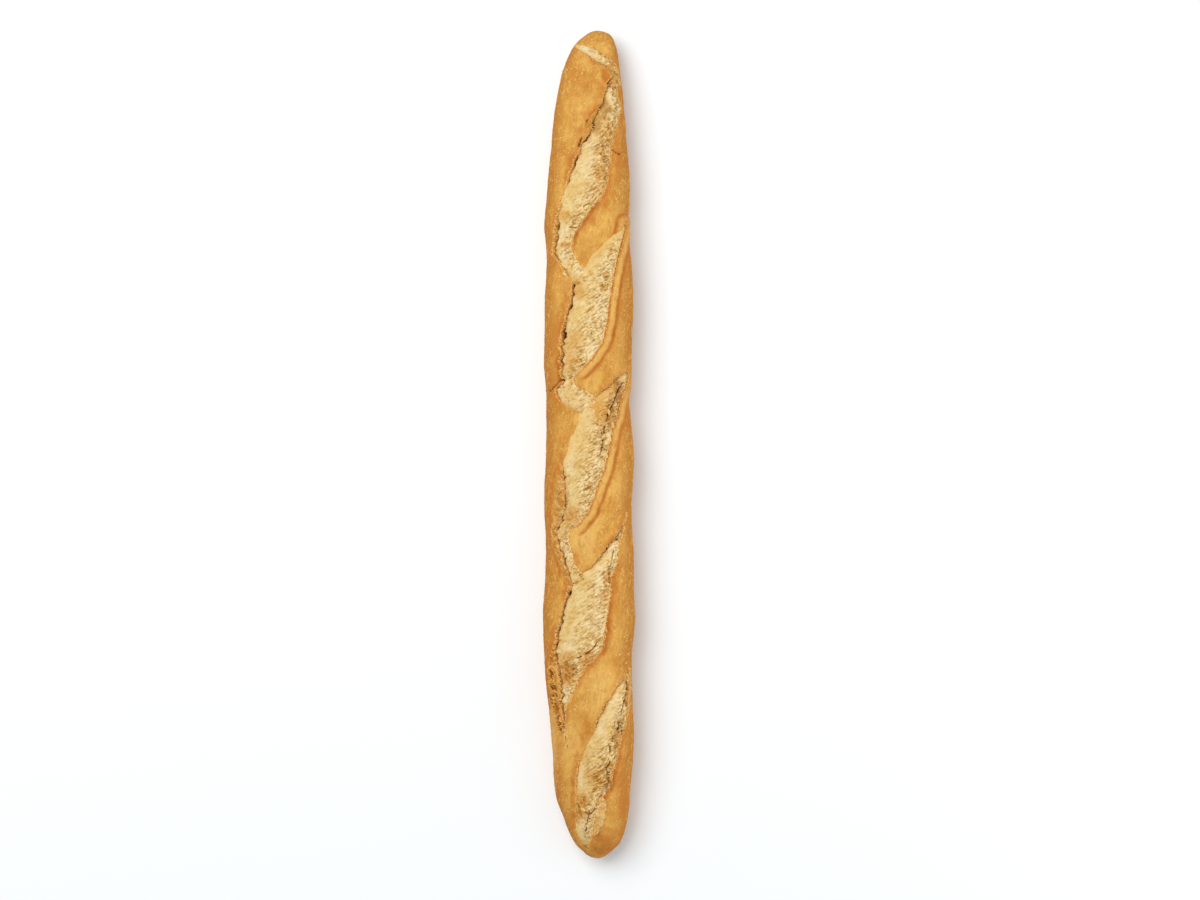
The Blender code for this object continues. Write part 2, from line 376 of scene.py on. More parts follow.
def smooth_edge(name, side, x):
    """Place across and strength of one edge before it is torn."""
    rows = np.array(SCORES[name][side])[::-1]
    return [smooth_curve(rows[:, 0], rows[:, column], x) for column in (1, 2)]


def torn_edges(name, x):
    """Both edges at each place along, as (left, right, crevice, rim). The tear adds hills
    5, 2.4 and 1.3 mm long, more of them where the crevice is deep, and none where the
    edges close up."""
    left, crevice = smooth_edge(name, LEFT, x)
    right, rim = smooth_edge(name, RIGHT, x)
    room = ease((left - right) / 5)
    seed = SCORE_SEEDS[name]
    line = flat(x, np.zeros_like(x))
    tear = 0.9 * hills(line, 5.0, seed) + 0.75 * hills(line, 2.4, seed + 1)
    tear = tear + 0.4 * hills(line, 1.3, seed + 2)
    wave = 0.6 * hills(line, 7.0, seed + 3) + 0.5 * hills(line, 2.4, seed + 4)
    wave = wave + 0.3 * hills(line, 1.3, seed + 5)
    left = left + room * tear * (0.45 + 0.6 * crevice)
    right = right + room * wave * (1.1 - 0.7 * ROLLED[name])
    return left, right, crevice, rim


def depth_inside(x, y, skip=None):
    """How far a point lies inside the nearest score: the larger of the scores' own
    depths, each the smaller of the ways in from its two edges. Negative outside."""
    depth = np.full(np.shape(x), -99.0)
    for name in SCORES:
        if name == skip:
            continue
        low, high = score_range(name)
        left, right, _, _ = torn_edges(name, x)
        here = (x > low) & (x < high)
        depth = np.maximum(depth, np.where(here, np.minimum(left - y, y - right), -99.0))
    return depth


def visible_segments(side):
    """The edges on one side as short straight pieces: start, end, mean strength and how
    far the rim is rolled. What lies inside a neighbouring score has been swallowed by it
    and is left out."""
    starts, ends, strengths, rolls = [], [], [], []
    for name in SCORES:
        low, high = score_range(name)
        x = np.arange(low, high, 0.9)
        edges = torn_edges(name, x)
        path = np.stack([x, edges[side]], axis=-1)
        seen = depth_inside(x, edges[side], skip=name) < 0.4
        both = seen[:-1] & seen[1:]
        starts.append(path[:-1][both])
        ends.append(path[1:][both])
        strengths.append((edges[2 + side][:-1] + edges[2 + side][1:])[both] / 2)
        rolls.append(np.full(both.sum(), ROLLED[name]))
    return [np.concatenate(parts) for parts in (starts, ends, strengths, rolls)]


EDGE_PIECES = {side: visible_segments(side) for side in (LEFT, RIGHT)}
print("edge pieces:", [len(EDGE_PIECES[side][2]) for side in (LEFT, RIGHT)])

EDGE_REACH = 16.0


def to_edge(x, y, side):
    """Distance from each point to the nearest visible edge on one side, and how strong
    and how rolled that edge is there. The points come in rings along the loaf, so each
    ring is measured only against the pieces within reach of it."""
    start, end, strength, roll = EDGE_PIECES[side]
    distance = np.full(x.shape, EDGE_REACH)
    power = np.zeros(x.shape)
    rolled = np.zeros(x.shape)
    for ring in range(x.shape[0]):
        near = np.abs(start[:, 0] - x[ring].mean()) < EDGE_REACH
        if not near.any():
            continue
        run = end[near] - start[near]
        away = np.stack([x[ring], y[ring]], axis=-1)[:, None] - start[near]
        share = np.clip((away * run).sum(-1) / (run * run).sum(-1), 0, 1)
        gap = np.linalg.norm(away - share[..., None] * run, axis=-1)
        nearest = gap.argmin(axis=1)
        distance[ring] = np.minimum(gap[np.arange(len(nearest)), nearest], EDGE_REACH)
        power[ring] = strength[near][nearest]
        rolled[ring] = roll[near][nearest]
    return distance, power, rolled


# %% [markdown]
# ## The crust
#
# The crust is one closed skin: a grid of rings along the loaf and columns around it. The
# columns wind round the loaf at the scores' slant and crowd together on top, where the
# detail is. On each ring the column nearest to a score's edge is slid exactly onto it, so
# a torn lip is a clean line of points and not a staircase. Then every point moves straight
# out of the loaf, or into it: up into lips and rims, down into grooves, and deep down
# inside the scores, where the skin is only the trench that the bloom lies in.

# %% Grid of the crust
RINGS = 750
COLUMNS = 132
COLUMN_SLANT = 0.35
WIND = COLUMN_SLANT / 21.0
TOP_ANGLE = np.radians(82)
TOP_CROWDING = 4.2
TIP_CROWDING = 9.0
TIP_ZONE = 22.0


def crowded(low, high, count, weight):
    """Places from low to high whose spacing follows one over the weight: the running sum
    of the weight is shared out evenly."""
    fine = np.linspace(low, high, 8001)
    running = np.concatenate([[0], np.cumsum(weight((fine[1:] + fine[:-1]) / 2))])
    return np.interp(np.linspace(0, 1, count), running / running[-1], fine)


def ring_places():
    """Even rings, crowding together over the last stretch to each tip."""
    def weight(x):
        return 1 + TIP_CROWDING * np.clip(1 - (HALF_LENGTH - np.abs(x)) / TIP_ZONE, 0, 1) ** 3
    return crowded(-HALF_LENGTH, HALF_LENGTH, RINGS + 2, weight)[1:-1]


def column_angles(x):
    """The angle of every column on every ring: the evenly numbered phases wind with x and
    are then read through a table that crowds them on top."""
    def weight(angle):
        return 1 + TOP_CROWDING * ease((TOP_ANGLE - np.abs(angle)) / 0.35 + 0.5)
    phases = np.arange(COLUMNS) * 2 * np.pi / COLUMNS
    wound = (phases[None, :] - x[:, None] * WIND + np.pi) % (2 * np.pi)
    table = crowded(-np.pi, np.pi, 2001, weight)
    return np.interp(wound, np.linspace(0, 2 * np.pi, 2001), table)


def snap_to_edges(x, angle):
    """Slides the column nearest to each edge onto it, its neighbours half as far."""
    rows = np.arange(len(x))
    for name, side in itertools.product(SCORES, (LEFT, RIGHT)):
        low, high = score_range(name)
        edge = torn_edges(name, x)[side]
        here = (x > low) & (x < high) & (depth_inside(x, edge, skip=name) < 0.4)
        target = angle_at(x, edge)
        nearest = np.abs(angle - target[:, None]).argmin(axis=1)
        shift = np.where(here, target - angle[rows, nearest], 0.0)
        for offset, share in ((-1, 0.5), (0, 1.0), (1, 0.5)):
            angle[rows, (nearest + offset) % COLUMNS] += share * shift
    return angle


ring_x = ring_places()
crust_angle = snap_to_edges(ring_x, column_angles(ring_x))
crust_x = np.repeat(ring_x[:, None], COLUMNS, axis=1)
crust_plain, crust_out = loaf_surface(crust_x, crust_angle)
print(f"crust grid {crust_x.shape}, rings {np.diff(ring_x).max():.2f} mm apart")

# %% [markdown]
# ## Patches and cracks
#
# Some features sit at one place and nowhere else: a stretch that browned, one painted
# paler, a crack, a soft brown band that is partly painted shade of a groove. They are kept
# in small tables, a row for each. A patch is an ellipse with a wandering edge and a crack is
# a chain of short lines, so the same two functions serve the crust here and the blooms further on.

# %% Patches and cracks


def patches(x, y, table, soft=0.7):
    """The strongest of a table's patches at a point. A row holds an ellipse's place along
    and across, its reach along and across, and how much. Its edge wanders with the hills
    and fades over a stretch of `soft` reaches."""
    wander = 0.35 * layered_hills(flat(x, y), 5.0, 61)
    total = np.zeros_like(x)
    for along, across, reach_x, reach_y, amount in table:
        away = np.hypot((x - along) / reach_x, (y - across) / reach_y)
        total = np.maximum(total, amount * ease((0.9 + soft / 2 - away + wander) / soft))
    return total


# Stretches of crust that browned deeply, mostly beside the tears
BROWNED = (
    (265, -12, 7, 3.5, 0.9), (254, -9, 8, 4, 0.6), (244, -5, 8, 4, 0.55),
    (234, 1, 8, 4, 0.55), (224, 5.5, 8, 3, 0.5), (205, 11, 10, 2.5, 0.4),
    (140, 27, 22, 2.5, 0.5), (103, 17, 14, 4.5, 0.55), (75, 24, 24, 6, 0.5),
    (50, 25, 14, 5, 0.5), (27, -3, 8, 4, 0.7), (-10, 20, 6, 3, 0.5), (-81, 9, 7, 3, 0.6),
    (-120, 23, 20, 4, 0.3), (-146, 28, 14, 4, 0.5),
    (-165, 29, 14, 3, 0.6), (-205, 1, 14, 3, 0.5),
    (-215, 4, 8, 3, 0.6), (-228, 8.5, 9, 2.5, 0.7), (-242, 11, 9, 2.5, 0.7),
    (-256, 11.5, 9, 2.5, 0.7), (-270, 11, 10, 2.5, 0.7),
    (205, -21, 26, 3.5, 0.6), (174, -11, 8, 4, 0.6), (163, -1, 8, 4, 0.6),
    # The row at -287 darkens the whole lower end: partly browning, partly painted shade.
    (-252, -25, 30, 5, 0.6), (-99, -18, 8, 3, 0.7), (-287, -12, 14, 16, 0.7),
)

# Stretches of crust painted paler
PALE = (
    (-70, 2, 14, 9, 0.7), (-58, 14, 6, 4, 0.5), (-178, -8, 18, 9, 0.6), (-215, 14, 18, 7, 0.5),
    (-215, 26, 26, 4, 0.6),
)

# Cracks in the crust: a chain of places along and across, then width
CRUST_CRACKS = (
    (((233, 0.5), (229, 2.6), (224, 3.4), (219, 5.2), (213, 7.5)), 0.6),
    (((47, 18.5), (44, 22.5), (40, 26), (37, 29)), 0.5),
    (((-285, 4.5), (-289, 3.5), (-292, 0.5)), 0.5),
    (((-196, 19.5), (-204, 18), (-212, 16.5), (-218, 15.5)), 0.35),
    (((212, -16.5), (209.5, -20), (208.5, -23)), 0.3),
)


def crack_depth(x, y, cracks):
    """One on a crack's line and nought past its width. The line wanders by a hill, and
    thins out and breaks off in places."""
    wander = 0.8 * hills(flat(x, y), 3.1, 71) + 0.5 * hills(flat(x, y), 1.4, 72)
    total = np.zeros_like(x)
    for chain, width in cracks:
        points = np.array(chain, float)
        for start, end in zip(points[:-1], points[1:]):
            run = end - start
            away_x, away_y = x - start[0], y - start[1] + wander
            share = np.clip((away_x * run[0] + away_y * run[1]) / (run @ run), 0, 1)
            gap = np.hypot(away_x - share * run[0], away_y - share * run[1])
            total = np.maximum(total, ease(1.3 - gap / width))
    return total * ease(1.15 + 1.5 * hills(flat(x, y), 3.7, 73))


# Soft brown bands outside the torn ledges, held like the cracks. They are colour only: partly
# browning, partly painted shade of a groove that the crust's shape does not have
OUTER_BROWN_SHADE_BANDS = (
    (((-13, 22.5), (-25, 25.4), (-37, 26.8), (-50, 27.6), (-60, 27.8)), 1.6),
    (((-62, 28.0), (-72, 27.0), (-82, 24.0), (-92, 20.5), (-101, 17.0)), 1.4),
    (((-148, 28.0), (-158, 30.2), (-172, 30.2), (-186, 28.0)), 1.6),
)


# %% Lips, rims and trenches
TRENCH_DEPTH = 4.6
WALL_WIDTH = 0.8
CRACK_DEPTH = 1.1

crust_y = crust_plain[..., 1]
crust_inside = depth_inside(crust_x, crust_y)
on_top = ease((np.radians(100) - np.abs(crust_angle)) / 0.2)
from_left, crevice, _ = to_edge(crust_x, crust_y, LEFT)
from_right, rim, rolled = to_edge(crust_x, crust_y, RIGHT)
outside = (crust_inside <= 0.02) * on_top
uneven = 1 + 0.45 * layered_hills(crust_plain, 9.0, 17)


def banks():
    """Height of the crust beside the scores. On the left of a score a lip that rises
    towards the tear. On the right either a rolled rim 2.6 mm back from the edge with a
    groove behind it, or a dip down to the bloom. All of it is uneven, and rounded off in
    the last half millimetre. A fray of little bumps runs along each torn edge."""
    lip = (0.05 + 0.8 * crevice) * bump(from_left, 0, 3.6)
    roll = rim * rolled * (0.9 * bump(from_right, 2.6, 2.3) - 0.9 * bump(from_right, 6.6, 1.5))
    dip = rim * (1 - rolled) * 1.3 * bump(from_right, 0, 3.6)
    fray = np.maximum(rim * (1 - rolled) * bump(from_right, 0.9, 0.8),
                      0.6 * crevice * bump(from_left, 0.8, 0.7))
    fray = fray * np.clip(0.5 + 1.2 * hills(crust_plain, 1.9, 19), 0, 1.5)
    rounding = 0.3 * bump(np.minimum(from_left + 2 * (crevice < 0.15), from_right), 0, 0.5)
    return (lip + roll - dip) * uneven + 0.8 * fray - rounding


def trench():
    """Depth of the skin inside the scores: down by the wall's width, then level. A narrow
    score is shallower."""
    nearest = np.minimum(from_left, from_right)
    room = np.clip(from_left + from_right, 0, 9) / 9
    return TRENCH_DEPTH * (0.35 + 0.65 * room) * ease(nearest / WALL_WIDTH)


def blisters():
    """Low round bubbles in the crust, 3 to 5 mm across, on about one cell in three."""
    distance, own = dots(flat(crust_x, 40 * crust_angle), 6.0, 11)
    return 0.22 * (own > 0.6) * ease(1 - distance / 0.42)


fine_relief = 0.12 * layered_hills(crust_plain, 5.0, 21) + 0.06 * hills(crust_plain, 1.6, 27)
above_base = ease(crust_plain[..., 2] / 5)
crust_cracks = crack_depth(crust_x, crust_y, CRUST_CRACKS) * on_top
crust_height = (banks() - CRACK_DEPTH * crust_cracks) * outside
crust_height = crust_height + (fine_relief + blisters()) * above_base
crust_height = crust_height - trench() * (1 - outside) * on_top
crust_points = crust_plain + crust_out * crust_height[..., None]
print(f"crust height from {crust_height.min():.2f} to {crust_height.max():.2f} mm")

# %% [markdown]
# ## From arrays to a mesh
#
# A grid becomes a mesh by numbering its points row by row and joining neighbours into
# four-sided faces. Colours need to know where they are: browning, toasted patches, and the
# painted shade and painted highlights of crevices, dips, sides and rims are stored on the
# points as named attributes, which the materials read.

# %% Mesh helpers


def grid_quads(rows, columns, first=0):
    """Four-sided faces between neighbouring rows and columns of an open grid."""
    start = first + (np.arange(rows - 1)[:, None] * columns + np.arange(columns - 1)).ravel()
    return np.stack([start, start + 1, start + columns + 1, start + columns], axis=-1)


def make_piece(name, points, faces, attributes, uv=None):
    """Makes a mesh object at the origin from points in mm, faces, one number per point for
    each attribute, and one UV pair per face corner."""
    mesh = bpy.data.meshes.new(name)
    mesh.from_pydata((np.reshape(points, (-1, 3)) * MM).tolist(), [], faces)
    for label, values in attributes.items():
        layer = mesh.attributes.new(label, "FLOAT", "POINT")
        layer.data.foreach_set("value", np.ravel(values).astype(np.float32))
    if uv is not None:
        mesh.uv_layers.new(name="OFBake").data.foreach_set("uv", np.ravel(uv))
    mesh.shade_smooth()
    piece = bpy.data.objects.new(name, mesh)
    bpy.context.scene.collection.objects.link(piece)
    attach(piece, "root")
    print(f"{name}: {len(mesh.vertices)} points, {len(mesh.polygons)} faces")
    return piece


# %% The crust as a mesh


def crust_faces():
    """Quads between rings, with the last column joined to the first, and a fan of
    triangles to each tip. The UV map unrolls the skin and folds it into two rows."""
    row, column = np.meshgrid(np.arange(RINGS - 1), np.arange(COLUMNS), indexing="ij")
    row, column = row.ravel(), column.ravel()
    corner_rows = np.stack([row, row, row + 1, row + 1], axis=-1)
    corner_columns = np.stack([column, column + 1, column + 1, column], axis=-1)
    quads = corner_rows * COLUMNS + corner_columns % COLUMNS
    fold = (corner_rows[:, :1] >= RINGS // 2).astype(float)
    along = np.interp(corner_rows, np.arange(RINGS), ring_x) / LENGTH + 0.5
    u = 2 * along - fold
    v = (corner_columns / COLUMNS + fold) / 2
    number = np.arange(COLUMNS)
    low_tip = RINGS * COLUMNS
    low = np.stack([np.full(COLUMNS, low_tip), (number + 1) % COLUMNS, number], axis=-1)
    last = (RINGS - 1) * COLUMNS
    high = np.stack([np.full(COLUMNS, low_tip + 1), last + number,
                     last + (number + 1) % COLUMNS], axis=-1)
    fan = np.stack([number + 0.5, number + 1, number], axis=-1) / COLUMNS / 2
    low_uv = np.stack([np.tile([0.0, u.min(), u.min()], (COLUMNS, 1)), fan], axis=-1)
    high_uv = np.stack([np.tile([1.0, u.max(), u.max()], (COLUMNS, 1)),
                        fan[:, [0, 2, 1]] + 0.5], axis=-1)
    uv = np.concatenate([np.stack([u, v], axis=-1).reshape(-1, 2),
                         low_uv.reshape(-1, 2), high_uv.reshape(-1, 2)])
    return quads.tolist() + low.tolist() + high.tolist(), uv * 0.98 + 0.01


def with_tips(values, tip_value=0.0):
    """The numbers of the grid, and one more for each tip."""
    return np.append(np.ravel(values), [tip_value, tip_value])


tips = np.array([[end, TIP_ACROSS, TIP_HEIGHT] for end in (-HALF_LENGTH, HALF_LENGTH)])
wandering = 0.5 + 0.5 * layered_hills(crust_plain, 7.0, 31)
patchy = np.clip(0.6 + 1.1 * layered_hills(crust_plain, 24.0, 33, 2), 0.12, 1.1)
left_brown = 0.8 * ease(crevice / 0.5) * bump(from_left, 0, 2.0 + 3.5 * wandering) * patchy
left_brown = np.maximum(left_brown, 0.85 * patches(crust_x, crust_y, BROWNED, 1.5))
# Painted shade on the right of the scores: along the rim beside the bloom, in the groove behind a
# rolled rim, and in the dip where the crust tucks under the bloom, with some real browning at the
# edge.
ridge_shade_and_browning = np.maximum(bump(from_right, 0.0, 1.0), 0.9 * bump(from_right, 6.4, 1.5))
dip_shade = bump(from_right, 1.2, 3.0)
right_shade_and_browning = rim * (rolled * ridge_shade_and_browning + (1 - rolled) * dip_shade)
# Painted shade: these bands darken the crust as a groove would, with no change to its height.
groove = crack_depth(crust_x, crust_y, OUTER_BROWN_SHADE_BANDS)
# Paler stretches from the table, and a painted highlight along the top of each rolled rim, where the
# light falls on it.
pale_and_ridge_highlight = np.maximum(patches(crust_x, crust_y, PALE, 1.5),
                  0.6 * rim * rolled * bump(from_right, 2.8, 2.0)) * on_top
# One attribute holds the real browning on the left of the scores and in the browned patches, and the
# painted shade on their right and in the brown bands.
browning_and_shade = np.maximum(left_brown, right_shade_and_browning) * (0.6 + 0.6 * wandering)
browning_and_shade = np.maximum(browning_and_shade, 0.7 * groove) * on_top
# Painted shade: the skin inside the scores and along the cracks is painted dark brown, where it lies
# in shade.
crevice_shade = np.maximum(ease(crust_inside / 0.9) * on_top, crust_cracks)
# Torn edges: pale crumb showing along the tears, partly a painted highlight where the torn edge
# catches the light.
torn = np.maximum(0.9 * ease(crevice / 0.3) * bump(from_left, 0, 1.2),
                  (1.0 - 0.3 * rolled) * bump(from_right, 0.4, 1.2)) * on_top
# Painted shade: side grows down the flanks, and the crust is painted darker there than on its top.
side = ease((np.abs(crust_angle) - np.radians(28)) / np.radians(42))
faces, crust_uv = crust_faces()
crust = make_piece(
    "crust", np.concatenate([crust_points.reshape(-1, 3), tips]), faces,
    {"browning_and_shade": with_tips(browning_and_shade), "crevice": with_tips(crevice_shade),
     "torn": with_tips(torn), "side": with_tips(side), "pale_and_ridge_highlight": with_tips(pale_and_ridge_highlight)}, crust_uv)
crust.data.set_sharp_from_angle(angle=np.radians(60))
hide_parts("baguette")

# %% [markdown]
# ## The blooms
#
# Inside each score the dough swelled up and dried pale. A bloom is a sheet between the
# score's two edges: one parameter runs along it, the other across. On the left it dives
# into the crevice, on the right it tucks under the rim. Stretching dough leaves fine
# folds that run across the bloom, finer and rougher towards the right, with pits where
# bubbles broke. The sheet gets an underside a little way below, so that it is closed.

# %% Bloom relief
BLOOM_STEP = 0.42
BLOOM_COLUMNS = 76
BLOOM_SWELL = 1.9
BLOOM_UNDERSIDE = 4.1
FOLD_TILT = np.radians(32)
BAND_TILT = np.radians(8)

# Patches of the blooms that caught the heat
TOASTED = (
    (215, -11, 22, 6, 0.4), (190, -9, 16, 5, 0.4), (164, 17, 4, 3, 0.6), (143, 16, 3, 4, 0.6),
    (112, 8, 9, 5, 0.5), (74, 12, 9, 7, 0.45), (60, 13, 8, 5, 0.5), (40, -16, 10, 9, 0.6),
    (22, -10, 12, 8, 0.55), (-42, 20, 12, 4, 0.7), (-52, 12, 7, 8, 0.6), (-68, 24, 9, 4, 0.6),
    (-157, 0, 9, 6, 0.8), (-152, 15, 5, 5, 0.6), (-164, 16, 11, 7, 0.75), (-205, 19.5, 12, 2, 0.9),
    (-240, -4, 16, 8, 0.35), (-260, 6, 10, 6, 0.8), (28, -6, 8, 6, 0.7), (262, -18, 7, 4, 0.6),
    (-182, -28, 16, 3, 0.7), (-214, -21, 12, 3, 0.6), (-240, -16, 12, 3, 0.6),
    (-110, -12, 8, 4, 0.3), (-97, -14, 5, 3.5, 0.9), (270, -17, 7, 4, 0.5),
)

# Places of the blooms painted whitest, partly as a painted highlight
CHALK_AND_HIGHLIGHT = (
    (283, 1, 5, 7, 0.9), (250, -16, 8, 3.5, 0.7), (203, 0, 20, 5, 0.5), (136, 16, 8, 5, 0.6),
    (124, 7, 5, 4, 0.7), (95, -8, 16, 5, 0.9), (68, -2, 9, 5, 0.9), (104, 11, 3, 3, 0.7),
    (13, -17, 9, 2, 0.6), (-14, 13, 9, 4, 0.45), (-34, 13, 7, 4, 0.4), (-70, 18, 6, 4, 0.7),
    (150, 17, 9, 5, 0.6),
    (-72, -16, 11, 5, 0.9), (-98, -8, 12, 5, 0.9), (-124, -6, 14, 6, 0.8),
    (-82, 15, 10, 4, 0.7), (-146, 15, 4, 5, 0.9), (-179, 16.5, 9, 3.5, 0.85),
    (-188, -17, 12, 4, 0.3), (-275, 3, 7, 3, 0.8),
    (-204, -9, 6, 3, 0.8), (-240, 5, 8, 3, 0.5), (-281, 3, 5, 3, 0.8),
)

# Places that tore into a web of threads
WEBBED = (
    (-161, 15, 9, 7, 0.65), (-155, 1, 8, 4, 0.25), (-262, 6, 12, 5, 0.7), (-242, -14, 14, 3, 0.8),
    (-212, -22, 18, 3, 0.8), (-178, -27, 12, 3, 0.8), (262, -18, 9, 4, 0.7),
    (236, -20, 16, 3, 0.5), (200, -12, 24, 4, 0.45), (-225, -4, 22, 7, 0.2), (-46, 16, 12, 4, 0.5),
    (-97, -14, 6, 4, 0.9), (-280, 4, 8, 4, 0.3), (-200, 19, 10, 2, 0.8), (-78, 20, 16, 3, 0.2),
    (30, -22, 24, 3, 0.5),
)

# Places where the bloom sank and lies in shadow, held in the same way
HOLLOWS = (
    (242, -11.5, 9, 4, 0.8), (231, -5, 11, 4.5, 0.8), (221, 0, 7, 3, 0.5),
    (-78, 18.5, 12, 2, 0.3), (38, -21, 9, 4, 0.7),
    (24, -15.5, 12, 3, 0.7), (5, -10, 12, 2, 0.5), (-207, -19, 18, 2, 0.4),
    (-238, -12, 10, 2.5, 0.4),
)
HOLLOW_DEPTH = 2.0

# Cracks in the blooms: a chain of places along and across, then width
BLOOM_CRACKS = (
    (((44, -24), (38, -21), (33, -18.3), (24, -15.5), (17.6, -12), (8, -11)), 0.65),
    (((4, -10), (-6, -8.5), (-17, -6)), 0.35),
    (((-139, -9), (-146, -3), (-151, 4), (-153, 8)), 0.5),
    (((-57, -24), (-68, -20), (-80, -16), (-90, -14)), 0.35),
    (((-170, -27), (-186, -24), (-196, -22), (-206, -20)), 0.4),
    (((-205, -17), (-214, -16), (-226, -15), (-238, -12)), 0.5),
    (((-258, 9), (-262, 5), (-266, 0), (-262, -4)), 0.5),
    (((-264, 0), (-271, 1), (-278, 2)), 0.45),
    (((160, 3), (155, 9), (156, 14)), 0.4),
    (((222, -10), (216, -9), (213, -4)), 0.3),
)


def folds(x, y, tilt, spacing, length, seed):
    """Fine folds that lie across the bloom, from 0 in a crease to 1 on a fold: hills
    squeezed along the loaf, turned by the tilt, bent by larger hills, and creased by taking
    the root of their absolute value."""
    bend = 0.8 * spacing * layered_hills(flat(x, y), 7.0, seed)
    along = x * np.cos(tilt) + y * np.sin(tilt) + bend
    across = -x * np.sin(tilt) + y * np.cos(tilt)
    height = np.abs(hills(flat(along, across), (spacing, length, 1.0), seed + 3))
    return np.minimum(height * 2.2, 1) ** 0.7


def web(x, y, seed):
    """Threads of torn dough, one on a thread and nought between: the creases of two sets
    of folds, which cross."""
    first = folds(x, y, FOLD_TILT, 1.7, 2.6, seed)
    second = folds(x, y, FOLD_TILT + np.pi / 2, 1.9, 3.2, seed + 5)
    return (1 - np.minimum(first, second)) ** 1.5


def bloom_fields(name):
    """Everything about one bloom on its grid: places, height out of the plain loaf, and
    the numbers that colour it."""
    low, high = score_range(name)
    seed = SCORE_SEEDS[name]
    rows = int((high - low) / BLOOM_STEP)
    x = np.linspace(low + 0.2, high - 0.2, rows)
    left, right, crevice, _ = torn_edges(name, x)
    opening = ease((crevice - 0.12) / 0.25)
    ragged = 0.5 + hills(flat(x, left), 4.1, seed + 9) + 0.4 * hills(flat(x, left), 1.7, seed + 10)
    gap = np.clip(2.2 * crevice * (0.25 + ragged), 0, 0.2 * (left - right) + 0.1)
    gap = opening * gap - 0.6 * (1 - opening)
    share = np.linspace(0, 1, BLOOM_COLUMNS)
    share = share - 0.35 / (2 * np.pi) * np.sin(2 * np.pi * share)
    start = left - gap
    end = right - 0.5
    y = start[:, None] + (end - start)[:, None] * share
    x = np.repeat(x[:, None], BLOOM_COLUMNS, axis=1)
    crevice, opening = crevice[:, None], opening[:, None]
    width = np.maximum(left - right, 0.1)[:, None]
    from_crevice = left[:, None] - y
    to_rim = y - right[:, None]
    swell = BLOOM_SWELL * np.clip(width / 20, 0, 1) * np.sin(np.pi * np.clip(share, 0, 1)) ** 0.9
    height = swell - 0.3 * (1 - share) * opening
    height = height - (0.5 + 2.8 * crevice * opening) * np.exp(-np.abs(from_crevice) / 1.5)
    height = height - 0.9 * np.exp(-np.maximum(to_rim, 0) / 0.9)
    swallowed = ease(depth_inside(x, y, skip=name) / 3)
    at_border = np.minimum(np.minimum(share, 1 - share) * width, np.minimum(x - low, high - x))
    height = height - 4.0 * swallowed * ease(1 - at_border / 4)
    flank = (1 - opening) * np.exp(-np.maximum(from_crevice, 0) / 4.5)
    toast = patches(x, y, TOASTED, 1.2)
    hollow = patches(x, y, HOLLOWS)
    roughness = ease((share - 0.2) / 0.5) * (0.5 + 0.5 * ease(to_rim / 3 + 0.3)) + 0.6 * toast
    roughness = roughness + 0.35 * layered_hills(flat(x, y), 12.0, seed + 11)
    chalk_and_highlight = patches(x, y, CHALK_AND_HIGHLIGHT, 1.2)
    roughness = np.clip(roughness, 0, 1.1) * (1 - 0.6 * flank) * (1 - 0.4 * chalk_and_highlight)
    bands = folds(x, y, BAND_TILT, 2.8, 8.0, seed)
    broad = folds(x, y, FOLD_TILT, 1.9, 5.0, seed + 20)
    fine = folds(x, y, FOLD_TILT, 1.05, 2.8, seed + 21)
    relief = (0.35 + 0.65 * roughness) * (1 - 0.4 * flank)
    smooth_side = (1 - relief) * (1 - flank)
    height = height + (0.38 * (broad - 0.7) + 0.36 * (fine - 0.7)) * relief
    height = height + 0.35 * (bands - 0.7) * smooth_side
    height = height + 0.4 * layered_hills(flat(x, y), 8.0, seed + 6)
    height = height + (0.05 + 0.25 * roughness) * layered_hills(flat(x, y), 1.9, seed + 7, 2)
    distance, own = dots(flat(x * 1.5, y), 1.9, seed + 8)
    pits = ease(1.2 - distance / (0.1 + 0.3 * own)) * (own > 0.85 - 0.4 * roughness)
    pits = pits * np.clip(roughness, 0, 1)
    burnt = ease((toast - 0.8) / 0.15)
    holes = burnt * ease((layered_hills(flat(x, y), 2.6, seed + 12) - 0.12) / 0.2)
    cracks = np.maximum(crack_depth(x, y, BLOOM_CRACKS), holes)
    height = height - 0.7 * pits - 1.6 * cracks - HOLLOW_DEPTH * hollow
    shade = 0.6 * crevice * opening * np.exp(-np.maximum(from_crevice, 0) / 1.2)
    shade = shade + 0.25 * hollow * (0.4 + relief)
    webbed = patches(x, y, WEBBED)
    threads = web(x, y, seed + 40)
    height = height + 0.8 * webbed * (threads - 0.4)
    shade = shade + 0.7 * webbed * ease((0.35 - threads) / 0.3)
    # The right side of each bloom is painted whiter in places, partly as a painted highlight.
    chalky_and_highlit = ease((share - 0.3) / 0.4) * ease(0.5 + layered_hills(flat(x, y), 11.0, seed + 30))
    fields = {
        "toast": toast,
        # Painted shade: pits, cracks, the crevice under the lip, the hollows and the gaps between
        # threads are painted dark.
        "dark": np.clip(0.55 * pits + 0.7 * cracks + shade, 0, 1),
        # Painted shade: the creases between the folds and the hollows are painted browner.
        "crease": np.maximum(relief * np.maximum(0.8 * (1 - broad), 0.9 * (1 - fine)),
                             np.maximum(0.6 * smooth_side * (1 - bands), 0.7 * hollow)),
        "chalk_and_highlight": np.maximum(0.4 * chalky_and_highlit * (1 - flank), chalk_and_highlight),
        "relief": relief,
        "flank": flank,
        # Torn edges and threads are paler: partly pale crumb, partly a painted highlight where they
        # catch the light.
        "torn": np.maximum(bump(to_rim, 0.4, 1.2) + opening * bump(from_crevice, 0.4, 0.9),
                           webbed * threads),
    }
    return x, y, height, fields


